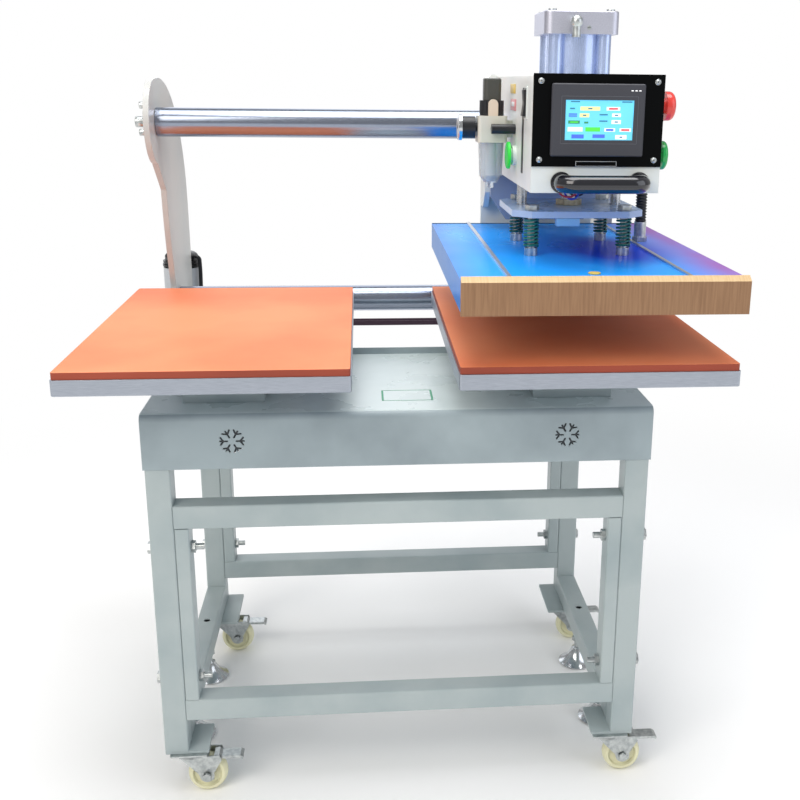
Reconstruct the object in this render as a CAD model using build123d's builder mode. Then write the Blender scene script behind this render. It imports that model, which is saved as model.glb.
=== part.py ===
from build123d import *
import math
import os

os.makedirs("parts", exist_ok=True)

# A pneumatic heat press with two stations and one head that slides between them.
# The origin is on the floor, under the middle of the machine's width and depth.
# +X is the operator's right and the operator stands on the -Y side.

# Overall machine
work_height = 770.0
platen_width = 400.0
platen_depth = 600.0
platen_gap = 148.0
front_y = -446.5
half_width = 390.0

# Fits
weld_gap = 0.15
running_fit = 0.05
bolt_fit = 0.2
loose_fit = 0.3

# Square tube of the stand
tube_side = 38.0
tube_wall = 2.0
tube_corner = 3.0
upright_width = 22.0
stand_setback = 142.0
stand_depth = 551.0
leg_foot_z = 86.0
leg_top_z = 652.0
low_cross_top_z = 180.0
high_cross_top_z = 517.0
rear_table_beam_top_z = 624.0
table_beam_y = (front_y + 234.0, front_y + 364.0)

# Table tray
table_top_z = 665.0
table_skirt = 87.0
table_depth = 355.0
table_sheet = 2.0
table_bend = 11.0
skirt_notch = 0.6
table_lip = 12.0
vent_x = 257.0
vent_drop = 43.0
vent_arms = 6
vent_hub_radius = 7.0
vent_fork_radius = 12.5
vent_tip_radius = 18.0
vent_slot = 2.8
vent_fork_angle = 19.0

# Casters and levelling feet
caster_x = 352.0
front_caster_y = front_y + 165.0
rear_caster_y = front_y + 616.0
caster_plate_thick = 5.0
caster_plate_width = 70.0
front_caster_plate = 76.0
rear_caster_plate = 121.0
top_plate_side = 60.0
top_plate_thick = 2.5
wheel_radius = 32.5
wheel_width = 24.0
caster_trail = 26.0
axle_radius = 4.0
fork_sheet = 2.5
fork_gap = 2.0
race_radius = 24.0
race_height = 9.0
pedal_pivot_reach = 18.0
pedal_pivot_z = 64.0
pedal_width = 22.0
pedal_pin_radius = 2.5
foot_y = (front_y + 315.0, front_y + 512.0)
foot_radius = 36.0
foot_stem_radius = 6.0
foot_stem_top_z = 118.0
foot_lift = 1.0

# Bolts of the stand
bolt_radius = 5.0
bolt_head_flat = 17.0
bolt_head = 6.5
cross_bolt_z = (214.0, 442.0)
cross_bolt_end = 310.0
bar_bolt_radius = 13.0
bar_bolt_head = 12.0
bar_bolt_shank = 6.0
bar_bolt_depth = 30.0

# Pedestals, platens and pads
pedestal_width = 126.0
pedestal_depth = 200.0
pedestal_setback = 200.0
pedestal_wall = 3.0
pedestal_cap = 6.0
platen_thick = 23.0
pad_thick = 10.0
pad_inset = 1.5
platen_corner = 4.0

# End posts and guide bars
post_inner = 410.0
post_thick = 10.0
bar_radius = 25.0
upper_bar_y = front_y + 541.0
upper_bar_z = 1075.0
lower_bar_y = front_y + 672.0
lower_bar_z = 734.4
post_head_radius = 72.0
post_foot_z = 575.0
post_front_y = front_y + 629.0
post_rear_y = front_y + 822.0
spacer_foot_z = 580.0
spacer_height = 68.0
post_bolt_rise = 16.0

# Belt drive
motor_x = 436.0
belt_y = front_y + 862.0
motor_radius = 38.0
motor_foot_z = 668.0
motor_body = 99.0
motor_cap = 31.0
motor_shaft_radius = 6.0
bracket_thick = 6.0
belt_z = 643.0
belt_width = 10.0
belt_thick = 1.5
pulley_radius = 10.5
pulley_flange_radius = 13.5
pulley_teeth = 14
cable_radius = 4.0
cable_forward = 22.0
cable_bend = 8.0

# Carriage
carriage_half = 108.0
block_front_y = front_y + 507.0
block_depth = 69.0
block_bottom_z = 1014.0
block_top_z = 1161.0
block_corner = 9.0
bush_wall = 3.0
bush_length = 50.0
cheek_thick = 10.0
cheek_bottom_z = 925.0
cheek_top_z = 1070.0
rear_plate_y = front_y + 604.0
rear_plate_thick = 10.0
lower_block_depth = 92.0
lower_block_bottom_z = 698.0
lower_block_top_z = 771.0
web_y = front_y + 507.0
web_thick = 10.0
web_bottom_z = 910.0
web_half = 100.0
web_corner = 29.0
web_corner_rise = 40.0
arm_thick = 12.0
arm_half = 86.0
arm_front_y = front_y + 160.0
clamp_half = 24.0
jaw_thick = 7.0

# Head housing and its panel
housing_left = 181.0
housing_right = 366.0
housing_front_y = front_y + 100.0
housing_bottom_z = 998.0
housing_top_z = 1161.0
housing_sheet = 2.0
housing_edge = 4.0
panel_bottom_z = 1035.0
panel_thick = 3.0
screen_width = 131.5
screen_height = 98.7
screen_thick = 6.0
screen_center_x = 272.0
screen_center_z = 1098.8
screen_back_width = 120.0
screen_back_height = 88.0
screen_back_depth = 34.0
display_width = 96.0
display_height = 54.0
display_drop_x = 1.7
display_drop_z = 0.2
handle_radius = 12.5
handle_half = 56.0
handle_reach = 35.0
handle_z = 1013.0
handle_bend = 17.0
handle_flange_radius = 15.0
handle_flange = 4.0
handle_x = 280.0

# Press cylinder and its rods
press_x = (platen_gap + platen_width) / 2
press_y = front_y + 290.0
cylinder_cap_side = 113.0
cylinder_cap_corner = 12.0
cylinder_cap = 33.0
cylinder_barrel = 172.0
barrel_radius = 45.0
barrel_lobe_radius = 11.0
barrel_lobe_offset = 37.0
cylinder_bore = 40.0
port_shift = 12.0
port_ball_radius = 9.5
piston_thick = 20.0
rod_radius = 12.5
guide_rod_radius = 8.0
guide_rod_offset = 76.0
guide_rod_top_z = 1112.0

# Spring plate, studs and springs
spring_plate_width = 204.0
spring_plate_depth = 200.0
spring_plate_thick = 10.0
spring_plate_z = 951.0
spring_plate_corner = 27.0
stud_dx = 72.0
stud_dy = 80.0
stud_radius = 6.0
stud_head = 8.0
stud_head_flat = 19.0
stud_foot_radius = 10.0
stud_foot = 12.0
spring_mean_radius = 10.5
spring_wire_radius = 1.4
spring_turns = 7

# Heat platen
heat_front_y = front_y - 10.0
heat_bottom_z = 844.0
heat_plate_thick = 25.0
heat_inset = 4.0
cover_sheet = 2.0
cover_top_z = 892.0
cover_bottom_z = 848.0
front_bar_thick = 10.0
front_bar_top_z = 890.0
front_bar_rise = 7.0
strip_places = (-132.0, 121.0)
strip_width = 6.0
strip_height = 3.0
boss_radius = 14.0

# Conduit between the head and the heat platen
conduit_x = 411.0
conduit_y = front_y + 356.0
conduit_radius = 9.5
conduit_root_radius = 8.2
conduit_bore = 6.5
conduit_top_z = 1040.0
conduit_pitch = 6.2
gland_radius = 11.0
gland_height = 33.0
elbow_height = 24.0

# Buttons, switch and regulator
button_neck_radius = 11.0
button_head_radius = 20.5
button_inside = 14.0
stop_button_y = front_y + 136.0
stop_button_z = 1118.0
stop_button_gap = 11.0
stop_button_head = 14.0
start_right_y = front_y + 136.0
start_right_z = 1049.0
start_right_gap = 9.0
start_right_head = 8.0
start_left_y = front_y + 255.0
start_left_z = 1040.0
start_gap = 3.5
start_head = 5.0
collar_radius = 15.0
collar_height = 6.0
rocker_y = front_y + 158.0
rocker_z = 1120.0
rocker_height = 40.0
rocker_width = 16.0
rocker_reach = 7.0
rocker_frame = 2.0
regulator_side = 46.0
regulator_right = 171.0
regulator_y = front_y + 300.0
inlet_radius = 6.6
inlet_depth = 12.0
inlet_z = 1078.0
regulator_bottom_z = 1057.6
regulator_top_z = 1098.0
ring_radius = 19.0
ring_height = 23.0
knob_side = 27.0
knob_corner = 6.0
knob_height = 33.0
bowl_radius = 20.0
bowl_height = 62.0
bowl_wall = 2.5
gauge_radius = 20.2
gauge_case_radius = 17.0
gauge_left = 95.0
gauge_z = 1080.0
fitting_z = 1079.0

# Places that follow from the sizes above
station_x = press_x
leg_offset = half_width - tube_side / 2
front_leg_y = front_y + stand_setback + tube_side / 2
rear_leg_y = front_y + stand_setback + stand_depth - tube_side / 2
side_beam_start = front_leg_y + tube_side / 2 + weld_gap
side_beam_length = rear_leg_y - front_leg_y - tube_side - 2 * weld_gap
low_beam_z = leg_foot_z + tube_side / 2
table_beam_z = table_top_z - table_sheet - weld_gap - tube_side / 2
cross_half = half_width - tube_side - weld_gap
upright_x = half_width - tube_side - weld_gap - upright_width / 2
caster_plate_z = leg_foot_z - caster_plate_thick
housing_rear_y = block_front_y - weld_gap
housing_x = (housing_left + housing_right) / 2
arm_bottom_z = block_bottom_z - arm_thick
cylinder_foot_z = block_bottom_z
cylinder_top_z = cylinder_foot_z + 2 * cylinder_cap + cylinder_barrel
stud_places = [
    (press_x + dx * stud_dx, press_y + dy * stud_dy) for dx in (-1, 1) for dy in (-1, 1)
]


def tube_section(plane, width, depth):
    """The outline of a square tube with its bore, on a plane across its length."""
    with BuildSketch(plane) as section:
        RectangleRounded(width, depth, tube_corner)
        inner = (width - 2 * tube_wall, depth - 2 * tube_wall)
        RectangleRounded(*inner, tube_corner - tube_wall, mode=Mode.SUBTRACT)
    return section.sketch


def along_x(x, y, z):
    """A plane that faces +X, with its own x axis along +Y."""
    return Plane((x, y, z), x_dir=(0, 1, 0), z_dir=(1, 0, 0))


def along_y(x, y, z):
    """A plane that faces +Y, with its own x axis along -X."""
    return Plane((x, y, z), x_dir=(-1, 0, 0), z_dir=(0, 1, 0))


def disc(plane, radius):
    """A round face on a plane."""
    with BuildSketch(plane) as face:
        Circle(radius)
    return face.sketch


def hexagon(plane, across_flats):
    """A hexagonal face on a plane."""
    with BuildSketch(plane) as face:
        RegularPolygon(across_flats / 2, 6, major_radius=False)
    return face.sketch


# Side frames: two legs, two beams between them and the plates that the casters bolt to
for name, side in (("side_frame_left", -1), ("side_frame_right", 1)):
    leg_x = side * leg_offset
    plate_x = side * (half_width - caster_plate_width / 2)
    front_plate_y = front_y + stand_setback + front_caster_plate / 2
    rear_plate_end = front_y + stand_setback + stand_depth
    with BuildPart() as side_frame:
        for leg_y in (front_leg_y, rear_leg_y):
            leg = tube_section(Plane((leg_x, leg_y, leg_foot_z)), tube_side, tube_side)
            extrude(leg, amount=leg_top_z - leg_foot_z)
        for beam_z in (low_beam_z, table_beam_z):
            beam = tube_section(along_y(leg_x, side_beam_start, beam_z), tube_side, tube_side)
            extrude(beam, amount=side_beam_length)
        for plate_y, plate_length in (
            (front_plate_y, front_caster_plate),
            (rear_plate_end - rear_caster_plate / 2, rear_caster_plate),
        ):
            with BuildSketch(Plane.XY.offset(caster_plate_z)):
                with Locations((plate_x, plate_y)):
                    RectangleRounded(caster_plate_width, plate_length, tube_corner)
            extrude(amount=caster_plate_thick - weld_gap)
        # Spacer block that holds the end post beside the rear leg
        spacer_start = side * (half_width + weld_gap)
        spacer = Plane((spacer_start, rear_leg_y, 0), x_dir=(0, 1, 0), z_dir=(side, 0, 0))
        spacer_z = side * (spacer_foot_z + spacer_height / 2)
        with BuildSketch(spacer):
            with Locations((0, spacer_z)):
                Rectangle(tube_side, spacer_height)
            with Locations((0, spacer_z - post_bolt_rise), (0, spacer_z + post_bolt_rise)):
                Circle(bolt_radius + bolt_fit, mode=Mode.SUBTRACT)
        extrude(amount=post_inner - half_width - 2 * weld_gap)
        for leg_y in (front_leg_y, rear_leg_y):
            for bolt_z in cross_bolt_z:
                bolt_hole = disc(along_x(leg_x - tube_side, leg_y, bolt_z), bolt_radius + bolt_fit)
                extrude(bolt_hole, amount=2 * tube_side, mode=Mode.SUBTRACT)
        for stem_y in foot_y:
            stem_hole = disc(Plane((leg_x, stem_y, leg_foot_z - 1)), foot_stem_radius + running_fit)
            extrude(stem_hole, amount=tube_side + 2, mode=Mode.SUBTRACT)
    side_frame.part.label = name
    export_step(side_frame.part, f"parts/{name}.step")

# Front and rear frames: crossbeams, the short uprights that bolt to the legs, table beams
for name, leg_y in (("front_frame", front_leg_y), ("rear_frame", rear_leg_y)):
    low_top = low_cross_top_z + weld_gap
    upright_height = high_cross_top_z - tube_side - low_cross_top_z - 2 * weld_gap
    with BuildPart() as cross_frame:
        for beam_top_z in (low_cross_top_z, high_cross_top_z):
            beam_z = beam_top_z - tube_side / 2
            beam = tube_section(along_x(-cross_half, leg_y, beam_z), tube_side, tube_side)
            extrude(beam, amount=2 * cross_half)
        for side in (-1, 1):
            upright = tube_section(
                Plane((side * upright_x, leg_y, low_top)), upright_width, tube_side
            )
            extrude(upright, amount=upright_height)
        if name == "front_frame":
            for beam_y in table_beam_y:
                beam = tube_section(along_x(-cross_half, beam_y, table_beam_z), tube_side, tube_side)
                extrude(beam, amount=2 * cross_half)
        else:
            beam_z = rear_table_beam_top_z - tube_side / 2
            beam = tube_section(along_x(-cross_half, leg_y, beam_z), tube_side, tube_side)
            extrude(beam, amount=2 * cross_half)
            # Brackets on the rear legs that carry the motor and the idler pulley
            leg_back_y = leg_y + tube_side / 2 + weld_gap
            bracket_in = half_width - tube_side
            bracket_out = motor_x + motor_radius + 3
            shelf_y = post_rear_y + 3
            shelf_end_y = belt_y + motor_radius + 3
            for side in (-1, 1):
                with BuildSketch(Plane.XY.offset(motor_foot_z - bracket_thick)):
                    arm_x = side * (bracket_in + half_width - 2) / 2
                    with Locations((arm_x, (leg_back_y + shelf_end_y) / 2)):
                        Rectangle(half_width - 2 - bracket_in, shelf_end_y - leg_back_y)
                    shelf_x = side * (bracket_in + bracket_out) / 2
                    with Locations((shelf_x, (shelf_y + shelf_end_y) / 2)):
                        Rectangle(bracket_out - bracket_in, shelf_end_y - shelf_y)
                extrude(amount=bracket_thick)
                with BuildSketch(Plane.XY.offset(rear_table_beam_top_z)):
                    with Locations((arm_x, leg_back_y + bracket_thick / 2)):
                        Rectangle(half_width - 2 - bracket_in, bracket_thick)
                extrude(amount=motor_foot_z - rear_table_beam_top_z)
                shaft_hole = disc(
                    Plane((side * motor_x, belt_y, motor_foot_z - 2 * bracket_thick)),
                    motor_shaft_radius + loose_fit,
                )
                extrude(shaft_hole, amount=3 * bracket_thick, mode=Mode.SUBTRACT)
        for side in (-1, 1):
            for bolt_z in cross_bolt_z:
                bolt_hole = disc(
                    along_x(side * upright_x - upright_width, leg_y, bolt_z), bolt_radius + bolt_fit
                )
                extrude(bolt_hole, amount=2 * upright_width, mode=Mode.SUBTRACT)
    cross_frame.part.label = name
    export_step(cross_frame.part, f"parts/{name}.step")

# Hardware of the stand: cross bolts with nuts, bar bolts, idler pin, top plates of the casters
with BuildPart() as stand_hardware:
    for side in (-1, 1):
        for leg_y in (front_leg_y, rear_leg_y):
            for bolt_z in cross_bolt_z:
                nut_x = half_width - tube_side - 2 * weld_gap - upright_width - bolt_head
                head = Plane((side * half_width, leg_y, bolt_z), x_dir=(0, 1, 0), z_dir=(side, 0, 0))
                nut = Plane((side * nut_x, leg_y, bolt_z), x_dir=(0, 1, 0), z_dir=(side, 0, 0))
                shank = Plane((side * cross_bolt_end, leg_y, bolt_z), x_dir=(0, 1, 0), z_dir=(side, 0, 0))
                extrude(hexagon(head, bolt_head_flat), amount=bolt_head)
                extrude(hexagon(nut, bolt_head_flat), amount=bolt_head)
                extrude(disc(shank, bolt_radius), amount=half_width - cross_bolt_end)
        for bar_y, bar_z in ((upper_bar_y, upper_bar_z), (lower_bar_y, lower_bar_z)):
            post_face = side * (post_inner + post_thick)
            cap = Plane((post_face, bar_y, bar_z), x_dir=(0, 1, 0), z_dir=(side, 0, 0))
            shank_start = side * (post_inner - bar_bolt_depth)
            shank = Plane((shank_start, bar_y, bar_z), x_dir=(0, 1, 0), z_dir=(side, 0, 0))
            extrude(disc(cap, bar_bolt_radius), amount=bar_bolt_head)
            extrude(disc(shank, bar_bolt_shank), amount=bar_bolt_depth + post_thick)
        post_bolt_z = spacer_foot_z + spacer_height / 2
        for bolt_z in (post_bolt_z - post_bolt_rise, post_bolt_z + post_bolt_rise):
            post_face = side * (post_inner + post_thick)
            head = Plane((post_face, rear_leg_y, bolt_z), x_dir=(0, 1, 0), z_dir=(side, 0, 0))
            extrude(hexagon(head, bolt_head_flat), amount=bolt_head)
            extrude(disc(head, bolt_radius), amount=half_width + 1 - post_inner - post_thick)
        for swivel_y in (front_caster_y, rear_caster_y):
            with BuildSketch(Plane.XY.offset(caster_plate_z - top_plate_thick - weld_gap)):
                with Locations((side * caster_x, swivel_y)):
                    RectangleRounded(top_plate_side, top_plate_side, tube_corner)
            extrude(amount=top_plate_thick)
    idler_pin = disc(Plane((motor_x, belt_y, belt_z - belt_width)), motor_shaft_radius)
    extrude(idler_pin, amount=motor_foot_z + bolt_head - belt_z + belt_width)
    extrude(hexagon(Plane((motor_x, belt_y, motor_foot_z)), bolt_head_flat), amount=bolt_head)
stand_hardware.part.label = "stand_hardware"
export_step(stand_hardware.part, "parts/stand_hardware.step")

# Casters: a fork with its race and axle, a wheel, and a brake pedal
casters = (
    ("front_left", -caster_x, front_caster_y, 1),
    ("front_right", caster_x, front_caster_y, 1),
    ("rear_left", -caster_x, rear_caster_y, 1),
    ("rear_right", caster_x, rear_caster_y, 1),
)
for corner, swivel_x, swivel_y, heading in casters:
    axle_x = swivel_x + heading * caster_trail
    race_top = caster_plate_z - top_plate_thick - 2 * weld_gap
    race_bottom = race_top - race_height
    fork_inner = wheel_width / 2 + fork_gap
    with BuildPart() as caster_fork:
        with BuildSketch(Plane.XY.offset(race_bottom)):
            with Locations((swivel_x, swivel_y)):
                Circle(race_radius)
        extrude(amount=race_height, taper=20)
        # The crown joins the two cheeks under the race
        with BuildSketch(Plane.XY.offset(race_bottom - fork_sheet)):
            with Locations((swivel_x + 6, swivel_y)):
                Rectangle(48, 2 * (fork_inner + fork_sheet))
        extrude(amount=fork_sheet)
        for cheek in (-1, 1):
            cheek_y = swivel_y + cheek * (fork_inner + fork_sheet / 2) + fork_sheet / 2
            cheek_plane = Plane((axle_x, cheek_y, wheel_radius), x_dir=(1, 0, 0), z_dir=(0, -1, 0))
            crown_z = race_bottom - wheel_radius
            with BuildSketch(cheek_plane):
                with BuildLine():
                    Polyline(
                        (-44, crown_z),
                        (pedal_pivot_reach + 4, crown_z),
                        (pedal_pivot_reach + 7, crown_z - 8),
                        (11, 4),
                        (11, -8),
                        (-9, -8),
                        (-14, 4),
                        (-44, crown_z),
                    )
                make_face()
                Circle(12)
            extrude(amount=fork_sheet)
        axle = Plane((axle_x, swivel_y - fork_inner - 2 * fork_sheet, wheel_radius), z_dir=(0, 1, 0))
        extrude(disc(axle, axle_radius), amount=2 * (fork_inner + 2 * fork_sheet))
        axle_head = hexagon(axle, 13)
        extrude(axle_head, amount=-4)
        # The pedal's pin between the fork cheeks
        pivot_x = axle_x + pedal_pivot_reach
        pin = Plane((pivot_x, swivel_y - fork_inner, pedal_pivot_z), z_dir=(0, 1, 0))
        extrude(disc(pin, pedal_pin_radius), amount=2 * fork_inner)
    label = f"caster_fork_{corner}"
    caster_fork.part.label = label
    export_step(caster_fork.part, f"parts/{label}.step")

    with BuildPart() as caster_wheel:
        with BuildSketch(Plane((axle_x, swivel_y, wheel_radius), x_dir=(0, 1, 0), z_dir=(1, 0, 0))):
            with BuildLine():
                half = wheel_width / 2
                Polyline(
                    (-half - 1, axle_radius + running_fit),
                    (-half - 1, 9),
                    (-half + 5, 10),
                    (-half + 5, 22),
                    (-half, 24),
                    (-half, wheel_radius - 4),
                )
                ThreePointArc((-half, wheel_radius - 4), (0, wheel_radius), (half, wheel_radius - 4))
                Polyline(
                    (half, wheel_radius - 4),
                    (half, 24),
                    (half - 5, 22),
                    (half - 5, 10),
                    (half + 1, 9),
                    (half + 1, axle_radius + running_fit),
                    (-half - 1, axle_radius + running_fit),
                )
            make_face()
        revolve(axis=Axis((axle_x, swivel_y, wheel_radius), (0, 1, 0)))
    label = f"caster_wheel_{corner}"
    caster_wheel.part.label = label
    export_step(caster_wheel.part, f"parts/{label}.step")

    with BuildPart() as caster_pedal:
        pedal_side_y = swivel_y + pedal_width / 2
        pedal_pivot = Plane((pivot_x, pedal_side_y, pedal_pivot_z), x_dir=(1, 0, 0), z_dir=(0, -1, 0))
        with BuildSketch(pedal_pivot):
            with BuildLine():
                Polyline(
                    (-6, -0.2),
                    (4, -3.5),
                    (36, -3.5),
                    (41, -6),
                    (42, -2),
                    (37, 1),
                    (7, 1),
                    (2, 4),
                    (-6, 4),
                    (-6, -0.2),
                )
            make_face()
            Circle(pedal_pin_radius + running_fit, mode=Mode.SUBTRACT)
        extrude(amount=pedal_width)
    label = f"caster_pedal_{corner}"
    caster_pedal.part.label = label
    export_step(caster_pedal.part, f"parts/{label}.step")

# Levelling feet: a threaded stem with its lock nut on a chromed cone
for row, stem_y in zip(("front", "rear"), foot_y):
    for hand, side in (("left", -1), ("right", 1)):
        foot_x = side * leg_offset
        foot_plane = Plane((foot_x, stem_y, foot_lift), x_dir=(1, 0, 0), z_dir=(0, -1, 0))
        with BuildPart() as levelling_foot:
            with BuildSketch(foot_plane):
                with BuildLine():
                    Line((0, 0), (foot_radius - 2, 0))
                    Line((foot_radius - 2, 0), (foot_radius, 3))
                    ThreePointArc((foot_radius, 3), (21, 15), (11, 33))
                    Line((11, 33), (foot_stem_radius, 36))
                    Line((foot_stem_radius, 36), (foot_stem_radius, foot_stem_top_z - foot_lift))
                    Line((foot_stem_radius, foot_stem_top_z - foot_lift), (0, foot_stem_top_z - foot_lift))
                    Line((0, foot_stem_top_z - foot_lift), (0, 0))
                make_face()
            revolve(axis=Axis((foot_x, stem_y, 0), (0, 0, 1)))
            extrude(hexagon(Plane((foot_x, stem_y, 50)), 19), amount=8)
        label = f"levelling_foot_{row}_{hand}"
        levelling_foot.part.label = label
        export_step(levelling_foot.part, f"parts/{label}.step")

# Table tray: one folded sheet, open below, with vent slots in its front
table_half = half_width + table_sheet
table_front_y = front_y + stand_setback - table_sheet
with BuildPart() as table_box:
    with BuildSketch(Plane.XY.offset(table_top_z - table_skirt)):
        with Locations((0, table_front_y + table_depth / 2)):
            Rectangle(2 * table_half, table_depth)
    extrude(amount=table_skirt)
    bend = table_box.edges().filter_by(Axis.X).group_by(Axis.Z)[-1].sort_by(Axis.Y)[0]
    fillet(bend, radius=table_bend)
    offset(amount=-table_sheet, openings=table_box.faces().sort_by(Axis.Z)[0], mode=Mode.REPLACE)
    with BuildSketch(Plane.XY.offset(table_top_z - table_sheet)):
        with Locations((0, table_front_y + table_depth - table_sheet / 2)):
            Rectangle(2 * table_half, table_sheet)
    extrude(amount=table_sheet + table_lip)
    # The rear skirt stops short of the side beams
    notch_inner = half_width - tube_side - skirt_notch
    with BuildSketch(Plane.XY.offset(table_top_z - table_skirt)):
        for side in (-1, 1):
            with Locations((side * (notch_inner + half_width) / 2, table_front_y + table_depth)):
                Rectangle(half_width - notch_inner, 3 * table_sheet)
    extrude(amount=table_skirt - table_sheet, mode=Mode.SUBTRACT)
    vent_plane = Plane((0, table_front_y, table_top_z - vent_drop), x_dir=(1, 0, 0), z_dir=(0, -1, 0))
    with BuildSketch(vent_plane):
        for vent_side in (-1, 1):
            vent_center = Vector(vent_side * vent_x, 0)
            for arm in range(vent_arms):
                angle = 360 / vent_arms * arm
                fork = vent_center + Vector(vent_fork_radius, 0).rotate(Axis.Z, angle)
                hub = vent_center + Vector(vent_hub_radius, 0).rotate(Axis.Z, angle)
                SlotCenterPoint(center=(hub + fork) / 2, point=fork, height=vent_slot)
                for turn in (-vent_fork_angle, 0, vent_fork_angle):
                    tip = vent_center + Vector(vent_tip_radius, 0).rotate(Axis.Z, angle + turn)
                    SlotCenterPoint(center=(fork + tip) / 2, point=tip, height=vent_slot)
    extrude(amount=-2 * table_sheet, mode=Mode.SUBTRACT)
table_box.part.label = "table_box"
export_step(table_box.part, "parts/table_box.step")

# Pedestals between the table and the platens
pedestal_height = work_height - pad_thick - platen_thick - table_top_z - 2 * weld_gap
with BuildPart() as pedestals:
    for side in (-1, 1):
        with BuildSketch(Plane.XY.offset(table_top_z + weld_gap)):
            with Locations((side * station_x, front_y + pedestal_setback + pedestal_depth / 2)):
                Rectangle(pedestal_width, pedestal_depth)
                bore = (pedestal_width - 2 * pedestal_wall, pedestal_depth - 2 * pedestal_wall)
                Rectangle(*bore, mode=Mode.SUBTRACT)
        extrude(amount=pedestal_height)
        with BuildSketch(Plane.XY.offset(table_top_z + weld_gap + pedestal_height)):
            with Locations((side * station_x, front_y + pedestal_setback + pedestal_depth / 2)):
                Rectangle(pedestal_width, pedestal_depth)
        extrude(amount=-pedestal_cap)
pedestals.part.label = "pedestals"
export_step(pedestals.part, "parts/pedestals.step")

# Platens and their silicone pads
platen_y = front_y + platen_depth / 2
for hand, side in (("left", -1), ("right", 1)):
    with BuildPart() as platen:
        with BuildSketch(Plane.XY.offset(work_height - pad_thick - platen_thick)):
            with Locations((side * station_x, platen_y)):
                RectangleRounded(platen_width, platen_depth, platen_corner)
        extrude(amount=platen_thick - weld_gap)
        chamfer(platen.edges().group_by(Axis.Z)[0], length=1)
    platen.part.label = f"platen_{hand}"
    export_step(platen.part, f"parts/platen_{hand}.step")

    with BuildPart() as pad:
        with BuildSketch(Plane.XY.offset(work_height - pad_thick)):
            with Locations((side * station_x, platen_y)):
                RectangleRounded(platen_width - 2 * pad_inset, platen_depth - 2 * pad_inset, platen_corner)
        extrude(amount=pad_thick)
    pad.part.label = f"pad_{hand}"
    export_step(pad.part, f"parts/pad_{hand}.step")

# End posts: a plate that rises from the rear leg and hooks forward to a round head
for hand, side in (("left", -1), ("right", 1)):
    inner_x = post_inner if side > 0 else -post_inner - post_thick
    with BuildPart() as post:
        with BuildSketch(along_x(inner_x, 0, 0)):
            with BuildLine():
                foot_front = (post_front_y, post_foot_z)
                neck_low = (post_front_y, work_height - 1)
                neck_high = (post_front_y - 39, work_height + 184)
                throat = (upper_bar_y - 46, upper_bar_z - 46)
                crown = (upper_bar_y, upper_bar_z + post_head_radius)
                shoulder = (post_rear_y - 5, work_height + 162)
                foot_rear = (post_rear_y, post_foot_z)
                heel = (post_rear_y, work_height + 24)
                Line(foot_front, neck_low)
                ThreePointArc(neck_low, (post_front_y - 20, work_height + 66), neck_high)
                Line(neck_high, throat)
                Line(throat, crown)
                ThreePointArc(crown, (post_rear_y - 98, work_height + 327), shoulder)
                ThreePointArc(shoulder, (post_rear_y - 1, work_height + 93), heel)
                Line(heel, foot_rear)
                Line(foot_rear, foot_front)
            make_face()
            with Locations((upper_bar_y, upper_bar_z)):
                Circle(post_head_radius)
        extrude(amount=post_thick)
        for bar_y, bar_z in ((upper_bar_y, upper_bar_z), (lower_bar_y, lower_bar_z)):
            hole = disc(along_x(inner_x - 1, bar_y, bar_z), bar_bolt_shank + bolt_fit)
            extrude(hole, amount=post_thick + 2, mode=Mode.SUBTRACT)
        post_bolt_z = spacer_foot_z + spacer_height / 2
        for bolt_z in (post_bolt_z - post_bolt_rise, post_bolt_z + post_bolt_rise):
            hole = disc(along_x(inner_x - 1, rear_leg_y, bolt_z), bolt_radius + bolt_fit)
            extrude(hole, amount=post_thick + 2, mode=Mode.SUBTRACT)
    post.part.label = f"post_{hand}"
    export_step(post.part, f"parts/post_{hand}.step")

# Guide bars between the posts, tapped at both ends
for name, bar_y, bar_z in (
    ("guide_bar_upper", upper_bar_y, upper_bar_z),
    ("guide_bar_lower", lower_bar_y, lower_bar_z),
):
    bar_half = post_inner - weld_gap
    with BuildPart() as guide_bar:
        extrude(disc(along_x(-bar_half, bar_y, bar_z), bar_radius), amount=2 * bar_half)
        chamfer(guide_bar.edges().filter_by(GeomType.CIRCLE), length=1)
        for side in (-1, 1):
            tapped = Plane((side * bar_half, bar_y, bar_z), x_dir=(0, 1, 0), z_dir=(-side, 0, 0))
            extrude(
                disc(tapped, bar_bolt_shank + running_fit), amount=bar_bolt_depth + 4, mode=Mode.SUBTRACT
            )
    guide_bar.part.label = name
    export_step(guide_bar.part, f"parts/{name}.step")

# Route of the motor's cable: out of a gland on the cap, over, and down to the bracket
cable_exit = -motor_x + 31
cable_x = -motor_x + 40
cable_y = belt_y - cable_forward
cable_top_z = motor_foot_z + motor_body + motor_cap - 7
cable_route = [
    (cable_exit, cable_y, cable_top_z),
    (cable_x, cable_y, cable_top_z),
    (cable_x + 1, cable_y, cable_top_z - 29),
    (cable_x, cable_y, cable_top_z - 75),
    (cable_x + 1, cable_y, motor_foot_z + weld_gap),
]
cable_radii = [cable_bend]
for before, here, after in zip(cable_route[1:], cable_route[2:], cable_route[3:]):
    run_in = Vector(here) - Vector(before)
    run_out = Vector(after) - Vector(here)
    turn = math.radians(run_in.get_angle(run_out))
    cable_radii.append(0.45 * min(run_in.length, run_out.length) / math.tan(turn / 2))
print("cable radii, mm:", [round(radius, 1) for radius in cable_radii])

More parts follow.
